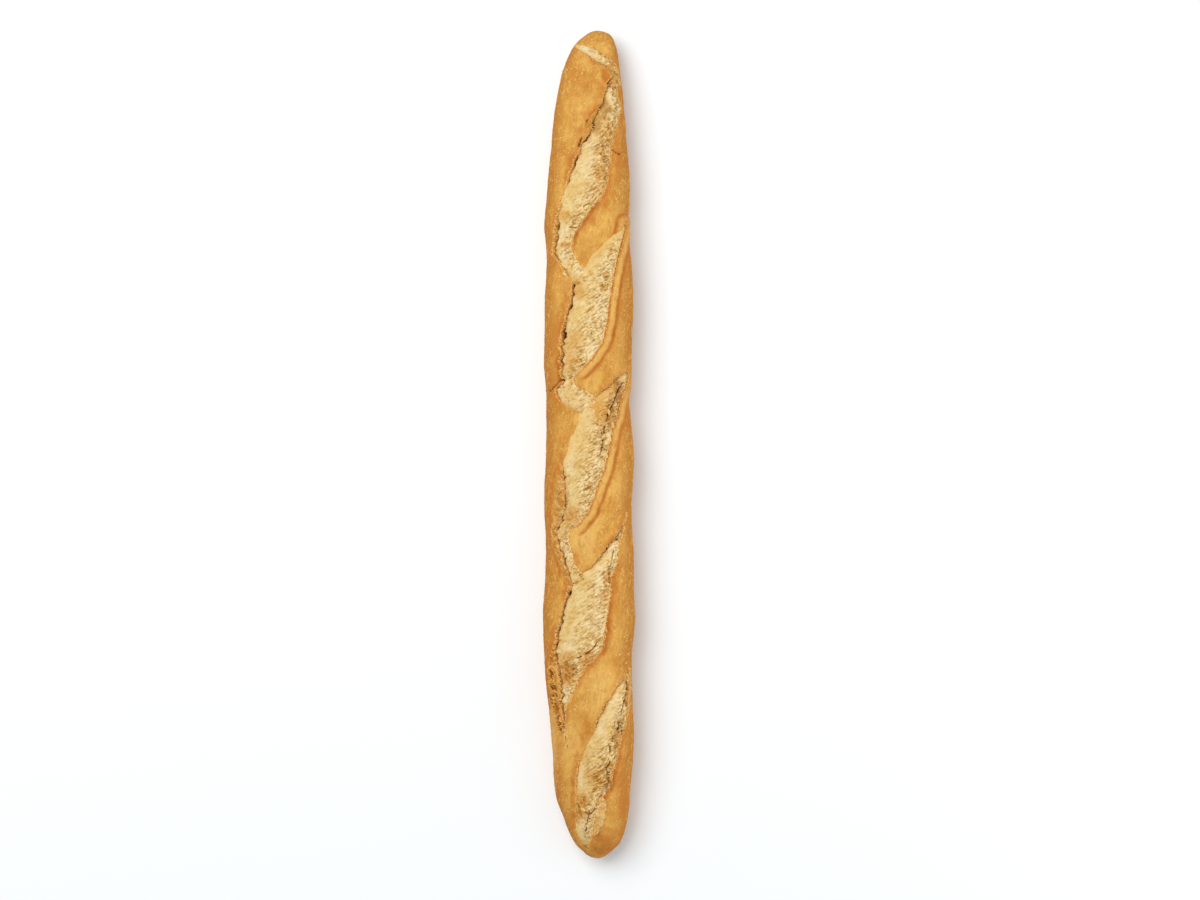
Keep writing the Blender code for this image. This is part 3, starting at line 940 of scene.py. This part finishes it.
def closed_sheet(rows, columns):
    """Faces of a slab from two equal grids, the second numbered after the first: both
    grids, the lower one turned over, and a strip along each of the four sides."""
    count = rows * columns
    upper = grid_quads(rows, columns)
    lower = grid_quads(rows, columns, count)[:, ::-1]
    number = np.arange(count).reshape(rows, columns)
    border = np.concatenate([number[0, :-1], number[:-1, -1], number[-1, :0:-1],
                             number[:0:-1, 0]])
    following = np.roll(border, -1)
    sides = np.stack([border, border + count, following + count, following], axis=-1)
    return np.concatenate([upper, lower, sides])


def sheet_uv(faces, rows, columns):
    """UV pairs for each corner of a slab: the top grid in the upper half of the square,
    the bottom grid in the lower half."""
    number = faces.ravel() % (rows * columns)
    below = faces.ravel() >= rows * columns
    along = (number // columns) / (rows - 1)
    across = (number % columns) / (columns - 1)
    return np.stack([along, np.where(below, 0.09 * across, 0.11 + 0.88 * across)], axis=-1)


def make_slab(name, x, y, height, fields, underside):
    """A piece whose top is the plain loaf raised by a height, and whose underside lies a
    fixed depth inside the loaf."""
    plain, out = loaf_surface(x, angle_at(x, y))
    top = plain + out * height[..., None]
    bottom = plain - out * np.maximum(underside, 0.4 - height)[..., None]
    faces = closed_sheet(*x.shape)
    fields = {label: np.concatenate([values.ravel()] * 2) for label, values in fields.items()}
    piece = make_piece(name, np.concatenate([top, bottom]), faces.tolist(), fields,
                       sheet_uv(faces, *x.shape))
    return piece


blooms = [make_slab(f"bloom_{name}", *bloom_fields(name), BLOOM_UNDERSIDE) for name in SCORES]

# %% [markdown]
# ## Torn ledges and flaps
#
# In a few places the crust didn't part along one clean line. A strip of it tore loose on
# both sides and stayed hanging over the crevice, or a flap of dough was pushed out over
# the next score. Each one is a slab like a bloom, but domed, rough all over, and jagged
# on its inner side.

# %% Ledges
LEDGE_CELL = 0.4
LEDGE_RISE = 1.7
LEDGE_UNDERSIDE = 1.4

# How toasted and how webbed each one is, then place along, place across and half width
LEDGES = {
    "ledge_first": (0.95, 0.5, (
        (245, -8.2, .5), (239, -4.8, 1.4), (234, -1.9, 2.0), (228, 0.2, 2.4),
        (223, 1.9, 2.0), (218, 4.4, .9), (213, 6.8, .3))),
    "ledge_third": (0.65, 0.6, (
        (-15, 18.8, .5), (-23, 20.3, 2.0), (-33, 20.6, 3.4), (-42, 21.2, 3.9),
        (-50, 22.4, 3.7), (-57, 24.2, 2.6), (-62, 26.0, 1.2))),
    "ledge_link": (0.65, 0.65, (
        (-57, 24.8, .8), (-64, 25.8, 1.9), (-72, 24.2, 2.2), (-79, 21.8, 2.2),
        (-86, 19.4, 2.1), (-94, 16.4, 1.9), (-101, 13.4, 1.4), (-106, 14.6, .5))),
    "ledge_fourth": (1.0, 1.0, (
        (-144, 25.0, .6), (-151, 26.0, 1.8), (-159, 26.2, 3.0), (-168, 25.6, 4.0),
        (-178, 24.8, 4.2), (-187, 23.6, 3.6), (-196, 21.4, 2.4), (-204, 20.2, 1.4),
        (-211, 18.8, .5))),
    "flap_second": (0.3, 0.3, (
        (43, 20, .8), (41, 18, 2.6), (38, 13, 8.0), (34, 9.6, 10.8), (30, 6.8, 11.4),
        (27, 4.2, 10), (24.5, 2.2, 8.0), (22, -.8, 5.4), (20, -2.6, 3.4), (18, -4.5, .8))),
    "flap_fifth": (0.5, 0.25, (
        (-253, -9.5, .6), (-258, -10.3, 2.2), (-265, -9.2, 3.0), (-272, -7.4, 3.0),
        (-278, -5.4, 2.0), (-282, -4.2, .6))),
}


def ledge_fields(name):
    """The slab on its grid. Across it a share runs from -1 at the torn side to 1 at the
    crack. It is domed by one minus the share to the fourth power. Where it is webbed it
    rises into threads, with dark holes between them."""
    toasted, webbed, rows = LEDGES[name]
    rows = np.array(rows)[::-1]
    seed = 200 + 10 * list(LEDGES).index(name)
    x = np.arange(rows[0, 0], rows[-1, 0], LEDGE_CELL)
    line = flat(x, np.zeros_like(x))
    centre, half = [smooth_curve(rows[:, 0], rows[:, column], x) for column in (1, 2)]
    jag = 0.8 * hills(line, 2.6, seed) + 0.5 * hills(line, 1.3, seed + 1)
    columns = int(2 * half.max() / LEDGE_CELL) + 8
    share = np.sin(np.linspace(-1, 1, columns) * np.pi / 2)
    inner = half + np.minimum(half, 1) * jag
    outer = half + np.minimum(half, 0.6) * np.roll(jag, 9)
    y = centre[:, None] + np.where(share < 0, inner[:, None], outer[:, None]) * share
    x = np.repeat(x[:, None], columns, axis=1)
    size = np.clip(half / 1.5, 0, 1)[:, None]
    height = LEDGE_RISE * size * (1 - share**4) * (1 - 0.35 * share) - 0.2
    height = height + (0.6 + 0.3 * webbed) * size * layered_hills(flat(x, y), 3.0, seed + 2)
    height = height + 0.5 * size * (folds(x, y, FOLD_TILT, 2.6, 5.0, seed + 5) - 0.7)
    distance, own = dots(flat(x * 1.3, y), 1.7, seed + 3)
    pits = ease(1.2 - distance / (0.1 + 0.3 * own)) * (own > 0.9 - 0.45 * webbed)
    threads = web(x, y, seed + 6)
    holes = ease((webbed - 0.3) / 0.7) * ease((0.4 - threads) / 0.3)
    height = height + webbed * (threads - 0.5)
    toast = np.clip(toasted * (1 + 0.7 * layered_hills(flat(x, y), 4.0, seed + 4)), 0, 1)
    fields = {
        "toast": toast,
        # Painted shade in the pits and in the holes between threads.
        "dark": np.maximum(0.5 * pits, 0.85 * holes),
        "chalk_and_highlight": np.full(x.shape, max(0.9 - 1.5 * toasted, 0)),
        "relief": np.full(x.shape, 0.8),
        # The torn side and the threads are paler, partly as a painted highlight.
        "torn": np.maximum(0.8 * bump(share, -0.95, 0.2), webbed * threads),
    }
    return x, y, height - 0.6 * pits - 0.6 * holes, fields


blooms += [make_slab(name, *ledge_fields(name), LEDGE_UNDERSIDE) for name in LEDGES]

# %% [markdown]
# ## Torn fringe and lumps
#
# Torn dough isn't a clean line. Small shreds of crumb stand along the edges, and where
# two scores meet the dough is pulled into bright lumps. Each shred is a little ball of
# twenty points, squeezed, dented and turned at random, so thousands of them are still a
# light mesh. The lumps are the same ball with more points and hills on it.

# %% Shreds and lumps
rng = np.random.default_rng(12)


def ball(rings, around):
    """Points of a unit ball: two poles and rings of equal steps, and the quads and fans
    that close it."""
    polar = np.arange(1, rings + 1)[:, None] * np.pi / (rings + 1)
    turn = np.arange(around) * 2 * np.pi / around
    grid = np.stack(np.broadcast_arrays(
        np.sin(polar) * np.cos(turn), np.sin(polar) * np.sin(turn), np.cos(polar)), axis=-1)
    points = np.concatenate([grid.reshape(-1, 3), [[0, 0, 1], [0, 0, -1]]])
    number = np.arange(around)
    following = (number + 1) % around
    faces = []
    for ring in range(rings - 1):
        base = ring * around
        faces += np.stack([base + number, base + around + number,
                           base + around + following, base + following], -1).tolist()
    last = (rings - 1) * around
    faces += np.stack([np.full(around, rings * around), number, following], -1).tolist()
    faces += np.stack([np.full(around, rings * around + 1), last + following,
                       last + number], -1).tolist()
    return points, faces


def frames_on_loaf(x, y, height, turn):
    """A place on the loaf and three directions for each blob: its long axis, turned from
    the loaf's length, its short axis, and straight out."""
    plain, out = loaf_surface(x, angle_at(x, y))
    length = np.array([1.0, 0, 0]) - out * out[:, :1]
    length /= np.linalg.norm(length, axis=1, keepdims=True)
    across = np.cross(out, length)
    turn = turn[:, None]
    long_axis = length * np.cos(turn) + across * np.sin(turn)
    short_axis = np.cross(out, long_axis)
    return plain + out * height[:, None], np.stack([long_axis, short_axis, out], axis=1)


def scatter_blobs(name, shape, places, axes, sizes, dents, attributes):
    """Copies of one ball: its points are scaled by each blob's dents and three sizes,
    turned into its directions and moved to its place."""
    points, faces = shape
    local = points[None] * dents[..., None] * sizes[:, None]
    placed = places[:, None] + np.einsum("nvk,nkc->nvc", local, axes)
    count = len(points)
    every = [[corner + count * blob for corner in face] for blob in range(len(places))
             for face in faces]
    fields = {label: np.repeat(values, count) for label, values in attributes.items()}
    piece = make_piece(name, placed, every, fields)
    return piece


def make_fringe():
    """Shreds along every visible edge, about one a millimetre, most where the crust is
    torn hardest. They lie mostly across the edge, half sunk into it."""
    shape = ball(3, 6)
    x, y, height = [], [], []
    for side in (LEFT, LEFT, RIGHT, RIGHT):
        start, end, strength, rolled = EDGE_PIECES[side]
        chance = (0.7 if side == LEFT else 1.3) * ease(strength / 0.4) * (1.1 - rolled)
        keep = rng.random(len(start)) < 0.75 * chance
        share = rng.random(keep.sum())[:, None]
        place = start[keep] * (1 - share) + end[keep] * share
        place = place + rng.normal(0, 0.45, place.shape)
        x.append(place[:, 0])
        y.append(place[:, 1])
        on_lip = 0.9 * strength[keep] - 0.1
        on_rim = 0.1 - 0.9 * strength[keep] * (1 - rolled[keep])
        height.append((on_lip if side == LEFT else on_rim) + rng.normal(0, 0.15, keep.sum()))
    x, y, height = np.concatenate(x), np.concatenate(y), np.concatenate(height)
    count = len(x)
    turn = np.pi / 2 + rng.normal(0, 0.8, count)
    places, axes = frames_on_loaf(x, y, height, turn)
    sizes = rng.uniform((0.25, 0.14, 0.12), (1.0, 0.34, 0.28), (count, 3))
    dents = rng.uniform(0.7, 1.3, (count, len(shape[0])))
    toast = rng.beta(1.2, 1.6, count)
    attributes = {"toast": toast, "torn": 0.8 * (1 - toast)}
    return scatter_blobs("fringe", shape, places, axes, sizes, dents, attributes)


def make_strands():
    """Threads of dough that stayed stretched over the crevices: long thin balls in little
    groups, each laid from the lip across the gap."""
    shape = ball(5, 6)
    start, end, strength, _ = EDGE_PIECES[LEFT]
    crowd = ease(0.3 + 1.4 * hills(flat(start[:, 0], start[:, 1]), 5.5, 87))
    keep = rng.random(len(start)) < 0.5 * crowd * ease((strength - 0.25) / 0.3)
    place = (start[keep] + end[keep]) / 2 + rng.normal(0, 0.25, (keep.sum(), 2))
    count = len(place)
    turn = np.pi / 2 + rng.normal(0, 0.45, count)
    places, axes = frames_on_loaf(place[:, 0], place[:, 1] - 0.9, 0.1 + 0.4 * strength[keep], turn)
    sizes = rng.uniform((0.9, 0.16, 0.14), (1.9, 0.34, 0.3), (count, 3))
    dents = rng.uniform(0.75, 1.25, (count, len(shape[0])))
    toast = rng.beta(1.5, 1.5, count)
    attributes = {"toast": toast, "torn": 0.8 * (1 - toast)}
    return scatter_blobs("strands", shape, places, axes, sizes, dents, attributes)


# Lumps where the scores meet: place along, place across, half length, half width, turn
LUMPS = (
    (128, 17, 3.2, 1.2, 0.9), (124, 13, 3.0, 1.2, 0.8), (120, 9, 2.8, 1.2, 0.8),
    (117, 5, 2.6, 1.1, 0.9), (114, 1, 2.4, 1.0, 1.0), (122, 17, 2.0, 1.0, 0.7),
    (41, 15, 1.8, 1.1, 0.2), (-66, 21, 2.2, 1.1, 0.2), (-72, 19, 2.4, 1.2, 0.1),
    (-79, 16, 2.2, 1.1, -0.3), (-86, 12, 2.2, 1.1, -0.4), (-96, 8, 2.2, 1.2, -0.6),
    (-100, 4, 2.0, 1.1, -1.0), (23, -14, 2.4, 1.2, 0.3), (14, -17, 2.6, 1.1, 0.2),
    (4, -15, 2.2, 1.0, 0.2), (-8, -12.5, 2.4, 1.0, 0.2), (-100, -13, 2.0, 1.2, 0.9),
    (-258, -3, 2.8, 1.6, 0.6), (-262, 4, 2.6, 1.5, 0.9), (-266, -6, 2.6, 1.4, 0.3),
)


def make_lumps():
    """The lumps of the table, each a ball dented by hills, and seated half deep."""
    shape = ball(11, 16)
    x, y, long, short, turn = np.array(LUMPS).T
    places, axes = frames_on_loaf(x, y, 0.6 + 0 * x, turn)
    sizes = np.stack([long, short, 0.55 * short + 0.4], axis=1)
    spread = shape[0][None] * sizes[:, None] + places[:, None]
    dents = 1 + 0.3 * layered_hills(spread, 2.2, 91)
    attributes = {"toast": 0.25 * rng.random(len(x)), "torn": 0.5 + 0 * x}
    return scatter_blobs("lumps", shape, places, axes, sizes, dents, attributes)


blooms += [make_fringe(), make_strands(), make_lumps()]

# %% [markdown]
# ## Shader maths as Python
#
# Node trees are easier to read as formulas. The class below wraps a socket: adding or
# multiplying two of them adds the Math node that does it. Colours are blended with a Mix
# node, because a Math node would turn them grey.

# %% Sockets with operators


class Value:
    """A number that a node gives. Its operators add Math nodes to the same tree."""

    def __init__(self, socket, graph):
        self.socket = socket
        self.graph = graph

    def maths(self, operation, *values, clamp=False):
        settings = {"operation": operation, "use_clamp": clamp}
        return self.graph.value("ShaderNodeMath", settings, dict(enumerate(values)))

    def __add__(self, other):
        return self.maths("ADD", self, other)

    def __sub__(self, other):
        return self.maths("SUBTRACT", self, other)

    def __rsub__(self, other):
        return self.maths("SUBTRACT", other, self)

    def __mul__(self, other):
        return self.maths("MULTIPLY", self, other)

    __radd__ = __add__
    __rmul__ = __mul__

    def __abs__(self):
        return self.maths("ABSOLUTE", self)

    def clamped(self):
        return self.maths("ADD", self, 0.0, clamp=True)


class Graph:
    """A material's node tree, built up from Python."""

    def __init__(self, name):
        self.material = bpy.data.materials.new(name)
        self.material.use_nodes = True
        self.tree = self.material.node_tree
        self.shader = self.tree.nodes["Principled BSDF"]
        self.place = self.node("ShaderNodeTexCoord", {}, {}).outputs["Object"]

    def node(self, kind, settings, inputs):
        """Adds a node, sets its settings, then its sockets to numbers or links."""
        node = self.tree.nodes.new(kind)
        for label, setting in settings.items():
            setattr(node, label, setting)
        for label, value in inputs.items():
            self.feed(node.inputs[label], value)
        return node

    def feed(self, socket, value):
        """Links a Value or a socket, or sets a plain number or colour."""
        if isinstance(value, Value):
            value = value.socket
        if isinstance(value, bpy.types.NodeSocket):
            self.tree.links.new(value, socket)
        else:
            socket.default_value = value

    def value(self, kind, settings, inputs, output=0):
        return Value(self.node(kind, settings, inputs).outputs[output], self)

    def attribute(self, name):
        return self.value("ShaderNodeAttribute", {"attribute_name": name}, {}, "Fac")

    def noise(self, size, detail=3.0, roughness=0.5, longer=(1, 1, 1), turn=0.0):
        """Noise from 0 to 1 whose hills are about `size` mm apart. They may be some times
        longer one way than another, and are turned about the vertical."""
        inputs = {"Vector": self.place, "Scale": longer, "Rotation": (0, 0, turn)}
        scaled = self.node("ShaderNodeMapping", {"vector_type": "TEXTURE"}, inputs)
        inputs = {"Vector": scaled.outputs[0], "Scale": 1 / (size * MM), "Detail": detail,
                  "Roughness": roughness}
        return self.value("ShaderNodeTexNoise", {}, inputs, "Fac")

    def cells(self, size):
        """Distance to the nearest of a scatter of points about `size` mm apart."""
        inputs = {"Vector": self.place, "Scale": 1 / (size * MM)}
        return self.value("ShaderNodeTexVoronoi", {}, inputs, "Distance")

    def window(self, value, low, high):
        """An eased step from low to high."""
        inputs = {"Value": value, "From Min": low, "From Max": high}
        settings = {"interpolation_type": "SMOOTHSTEP"}
        return self.value("ShaderNodeMapRange", settings, inputs)

    def blend(self, amount, under, over):
        """Colour `under` giving way to colour `over`."""
        inputs = {0: amount, 6: under, 7: over}
        return self.node("ShaderNodeMix", {"data_type": "RGBA"}, inputs).outputs[2]

    def bumped(self, height, distance, strength=1.0):
        """A normal that tilts with a height from 0 to 1, `distance` mm tall."""
        inputs = {"Height": height, "Distance": distance * MM, "Strength": strength}
        return self.node("ShaderNodeBump", {}, inputs).outputs["Normal"]


def colour(red, green, blue):
    """A linear colour from the 0 to 255 numbers of a screen: divided by 255, then to the
    power 2.2."""
    return tuple((part / 255) ** 2.2 for part in (red, green, blue)) + (1.0,)


# %% [markdown]
# ## The finish of the crust
#
# A crust browns unevenly: broad warm clouds, a fine mottle where bubbles sit under the
# surface, tiny pale specks, and a deep orange-brown along every torn edge, on the right of
# the scores partly painted shade in the dips and grooves. The sides are painted darker as
# shade, the tops of rolled rims carry a painted highlight, the torn edges are partly a painted
# highlight, and the trenches and cracks are painted dark as shade. Attributes for browning and
# shade, torn edges and crevices say where the edges are, and noise on the Object coordinates
# breaks them up. The crust is dry, so it has no shine but a faint rough coat.

# %% Crust material


def crust_finish():
    g = Graph("crust")
    clouds = g.noise(17, 3, 0.6)
    mottle = g.noise(5, 3, 0.65)
    streaks = g.noise(1.7, 3, 0.6, longer=(5, 1, 5), turn=-0.2)
    grain = g.noise(1.3, 2, 0.6)
    fleck = g.noise(1.1, 3, 0.7)
    side = g.attribute("side")
    golden = g.blend(g.window(clouds, 0.3, 0.7), colour(196, 134, 60), colour(224, 174, 90))
    # Painted shade: the flanks of the loaf are painted darker than its top.
    golden = g.blend(side * 0.9, golden, colour(172, 110, 46))
    # Paler stretches, and a painted highlight along the tops of the rolled rims.
    golden = g.blend(g.attribute("pale_and_ridge_highlight"), golden, colour(230, 184, 106))
    golden = g.blend(g.window(mottle, 0.42, 0.75) * 0.5, golden, colour(182, 114, 42))
    golden = g.blend(g.window(streaks, 0.5, 0.75) * 0.4, golden, colour(182, 114, 42))
    golden = g.blend(g.window(streaks, 0.48, 0.28) * 0.4, golden, colour(234, 182, 92))
    golden = g.blend(g.window(grain, 0.5, 0.78) * 0.45, golden, colour(236, 188, 98))
    golden = g.blend(g.window(grain, 0.43, 0.22) * 0.35, golden, colour(172, 102, 34))
    speck_size = 0.2 * g.window(g.noise(6, 2), 0.5, 0.68) * (1 - 0.35 * side)
    specks = g.window(g.cells(2.1) - speck_size, 0.06, 0.0)
    golden = g.blend(specks * 0.8, golden, colour(246, 212, 136))
    patch = g.window(g.noise(5, 1), 0.5, 0.56)
    hairs = g.window(abs(g.noise(4.5, 2, 0.6) - 0.5), 0.022, 0.008) * patch
    golden = g.blend(hairs * 0.65, golden, colour(244, 204, 122))
    # Browning and painted shade together: real browning beside the tears, and painted shade in the
    # dips, grooves and brown bands, all taken to orange-brown.
    browned_and_shaded = g.attribute("browning_and_shade")
    ragged = (browned_and_shaded + (mottle - 0.5) * 1.3 * browned_and_shaded + (fleck - 0.5) * 0.5 * browned_and_shaded).clamped()
    toasted = g.blend(g.window(ragged, 0.05, 0.7), golden, colour(190, 118, 52))
    toasted = g.blend(g.window(ragged, 0.6, 1.1) * 0.7, toasted, colour(156, 86, 26))
    # Along the tears: pale shreds, partly a painted highlight on the torn edge, and painted shade in
    # the gaps between them.
    torn = g.attribute("torn")
    shreds_and_edge_highlight = g.window(torn + (fleck - 0.5) * 3.0, 0.7, 1.0)
    gap_shade = g.window(torn - (fleck - 0.5) * 3.0, 0.95, 1.25)
    toasted = g.blend(shreds_and_edge_highlight * 0.75, toasted, colour(242, 198, 116))
    toasted = g.blend(gap_shade * 0.7, toasted, colour(150, 84, 20))
    # Painted shade: the trenches and cracks are painted a deep brown.
    dark = g.attribute("crevice")
    wall = g.blend(dark, toasted, colour(88, 34, 0))
    g.feed(g.shader.inputs["Base Color"], wall)
    g.feed(g.shader.inputs["Specular IOR Level"], 0.0)
    g.feed(g.shader.inputs["Coat Weight"], 0.12 - 0.12 * dark)
    g.feed(g.shader.inputs["Coat Roughness"], 0.5)
    g.feed(g.shader.inputs["Roughness"], 0.5 + 0.2 * grain)
    relief = 0.5 * g.noise(2.2, 3, 0.6) + 0.3 * fleck + 0.2 * streaks - 0.3 * hairs
    g.feed(g.shader.inputs["Normal"], g.bumped(relief, 0.5, 0.8))
    return g.material


crust.data.materials.append(crust_finish())

# %% [markdown]
# ## The finish of the blooms
#
# Bloomed crumb is cream and matt. Where it caught the heat it is toasted. The creases between
# its folds and the hollows are painted browner as shade, with a painted highlight on the folds'
# crests. Its whitest places, its torn edges and its threads are paler, partly as a painted
# highlight. Pits, cracks, hollows and the crevice under each lip are painted dark as shade.

# %% Crumb material


def crumb_finish():
    g = Graph("crumb")
    clouds = g.noise(9, 2)
    grain = g.noise(1.2, 3, 0.65)
    fold_light_and_shade = g.noise(1.5, 2, 0.55, longer=(1, 3.2, 1), turn=FOLD_TILT)
    toast = g.attribute("toast")
    relief = g.attribute("relief")
    cream = g.blend(g.window(clouds, 0.3, 0.7), colour(217, 178, 106), colour(229, 201, 140))
    # The whitest crumb, partly a painted highlight.
    cream = g.blend(g.attribute("chalk_and_highlight") * 0.8, cream, colour(240, 218, 172))
    cream = g.blend(g.window(grain, 0.4, 0.75) * 0.35, cream, colour(246, 220, 160))
    # Painted shade in the creases between the folds and in the hollows.
    cream = g.blend(g.window(g.attribute("crease"), 0.05, 0.8) * 0.7, cream, colour(178, 124, 46))
    # Painted light on the fine folds: a painted highlight on their crests and painted shade in their
    # creases; the bump below uses the same noise.
    cream = g.blend(g.window(fold_light_and_shade, 0.47, 0.33) * relief * 0.65, cream, colour(252, 232, 184))
    cream = g.blend(g.window(fold_light_and_shade, 0.54, 0.66) * relief * 0.75, cream, colour(140, 92, 26))
    amount = (toast * (0.3 + 1.1 * grain)).clamped()
    toasted = g.blend(amount, cream, colour(204, 134, 42))
    # Torn edges and threads are painted paler: partly pale crumb, partly a painted highlight.
    torn = g.window(g.attribute("torn") + (grain - 0.5) * 2.4, 0.7, 1.0)
    toasted = g.blend(torn * 0.6, toasted, colour(246, 210, 138))
    toasted = g.blend(g.attribute("flank") * 0.6, toasted, colour(222, 174, 94))
    # Painted shade: pits, cracks, crevices, hollows and the gaps between threads are painted dark
    # brown.
    g.feed(g.shader.inputs["Base Color"], g.blend(g.attribute("dark"), toasted, colour(112, 54, 0)))
    g.feed(g.shader.inputs["Specular IOR Level"], 0.0)
    g.feed(g.shader.inputs["Roughness"], 0.72 + 0.2 * grain)
    height = 0.5 * g.noise(1.0, 3, 0.6) + 0.2 * g.noise(0.45, 2) + 0.6 * relief * (1 - fold_light_and_shade)
    g.feed(g.shader.inputs["Normal"], g.bumped(height, 0.5, 0.9))
    return g.material


crumb = crumb_finish()
for bloom in blooms:
    bloom.data.materials.append(crumb)

# %% [markdown]
# ## Floor and light
#
# The loaf lies on plain white, lit by one broad lamp from above and the left, so that its
# shadow is soft and falls to the right. A bright even sky fills the shadows.

# %% Floor and light
FLOOR_SIZE = 8.0
FLOOR_WHITE = (0.92, 0.95, 0.965, 1.0)
SKY_STRENGTH = 0.44

# Place in metres, side of the square in metres, power in watts, and whether it casts shadows
LAMPS = {
    "key_lamp": ((0.8, 0.95, 2.0), 1.8, 42.5, True),
    "fill_lamp": ((-0.1, -1.3, 0.4), 0.9, 9.0, False),
}


def make_floor():
    bpy.ops.mesh.primitive_plane_add(size=FLOOR_SIZE)
    floor = bpy.context.object
    floor.name = "floor"
    g = Graph("floor")
    g.shader.inputs["Base Color"].default_value = FLOOR_WHITE
    g.shader.inputs["Roughness"].default_value = 0.9
    g.shader.inputs["Specular IOR Level"].default_value = 0.0
    floor.data.materials.append(g.material)


def make_light():
    """Square lamps that face the middle of the loaf, and an even white sky."""
    for name, (place, size, power, shadows) in LAMPS.items():
        data = bpy.data.lights.new(name, "AREA")
        data.energy = power
        data.size = size
        data.use_shadow = shadows
        lamp = bpy.data.objects.new(name, data)
        lamp.location = place
        lamp.rotation_euler = lamp.location.to_track_quat("Z", "Y").to_euler()
        bpy.context.scene.collection.objects.link(lamp)
    world = bpy.data.worlds.new("sky")
    world.use_nodes = True
    world.node_tree.nodes["Background"].inputs["Color"].default_value = (1, 1, 1, 1)
    world.node_tree.nodes["Background"].inputs["Strength"].default_value = SKY_STRENGTH
    bpy.context.scene.world = world


make_floor()
make_light()
bpy.context.scene.view_settings.view_transform = "Standard"
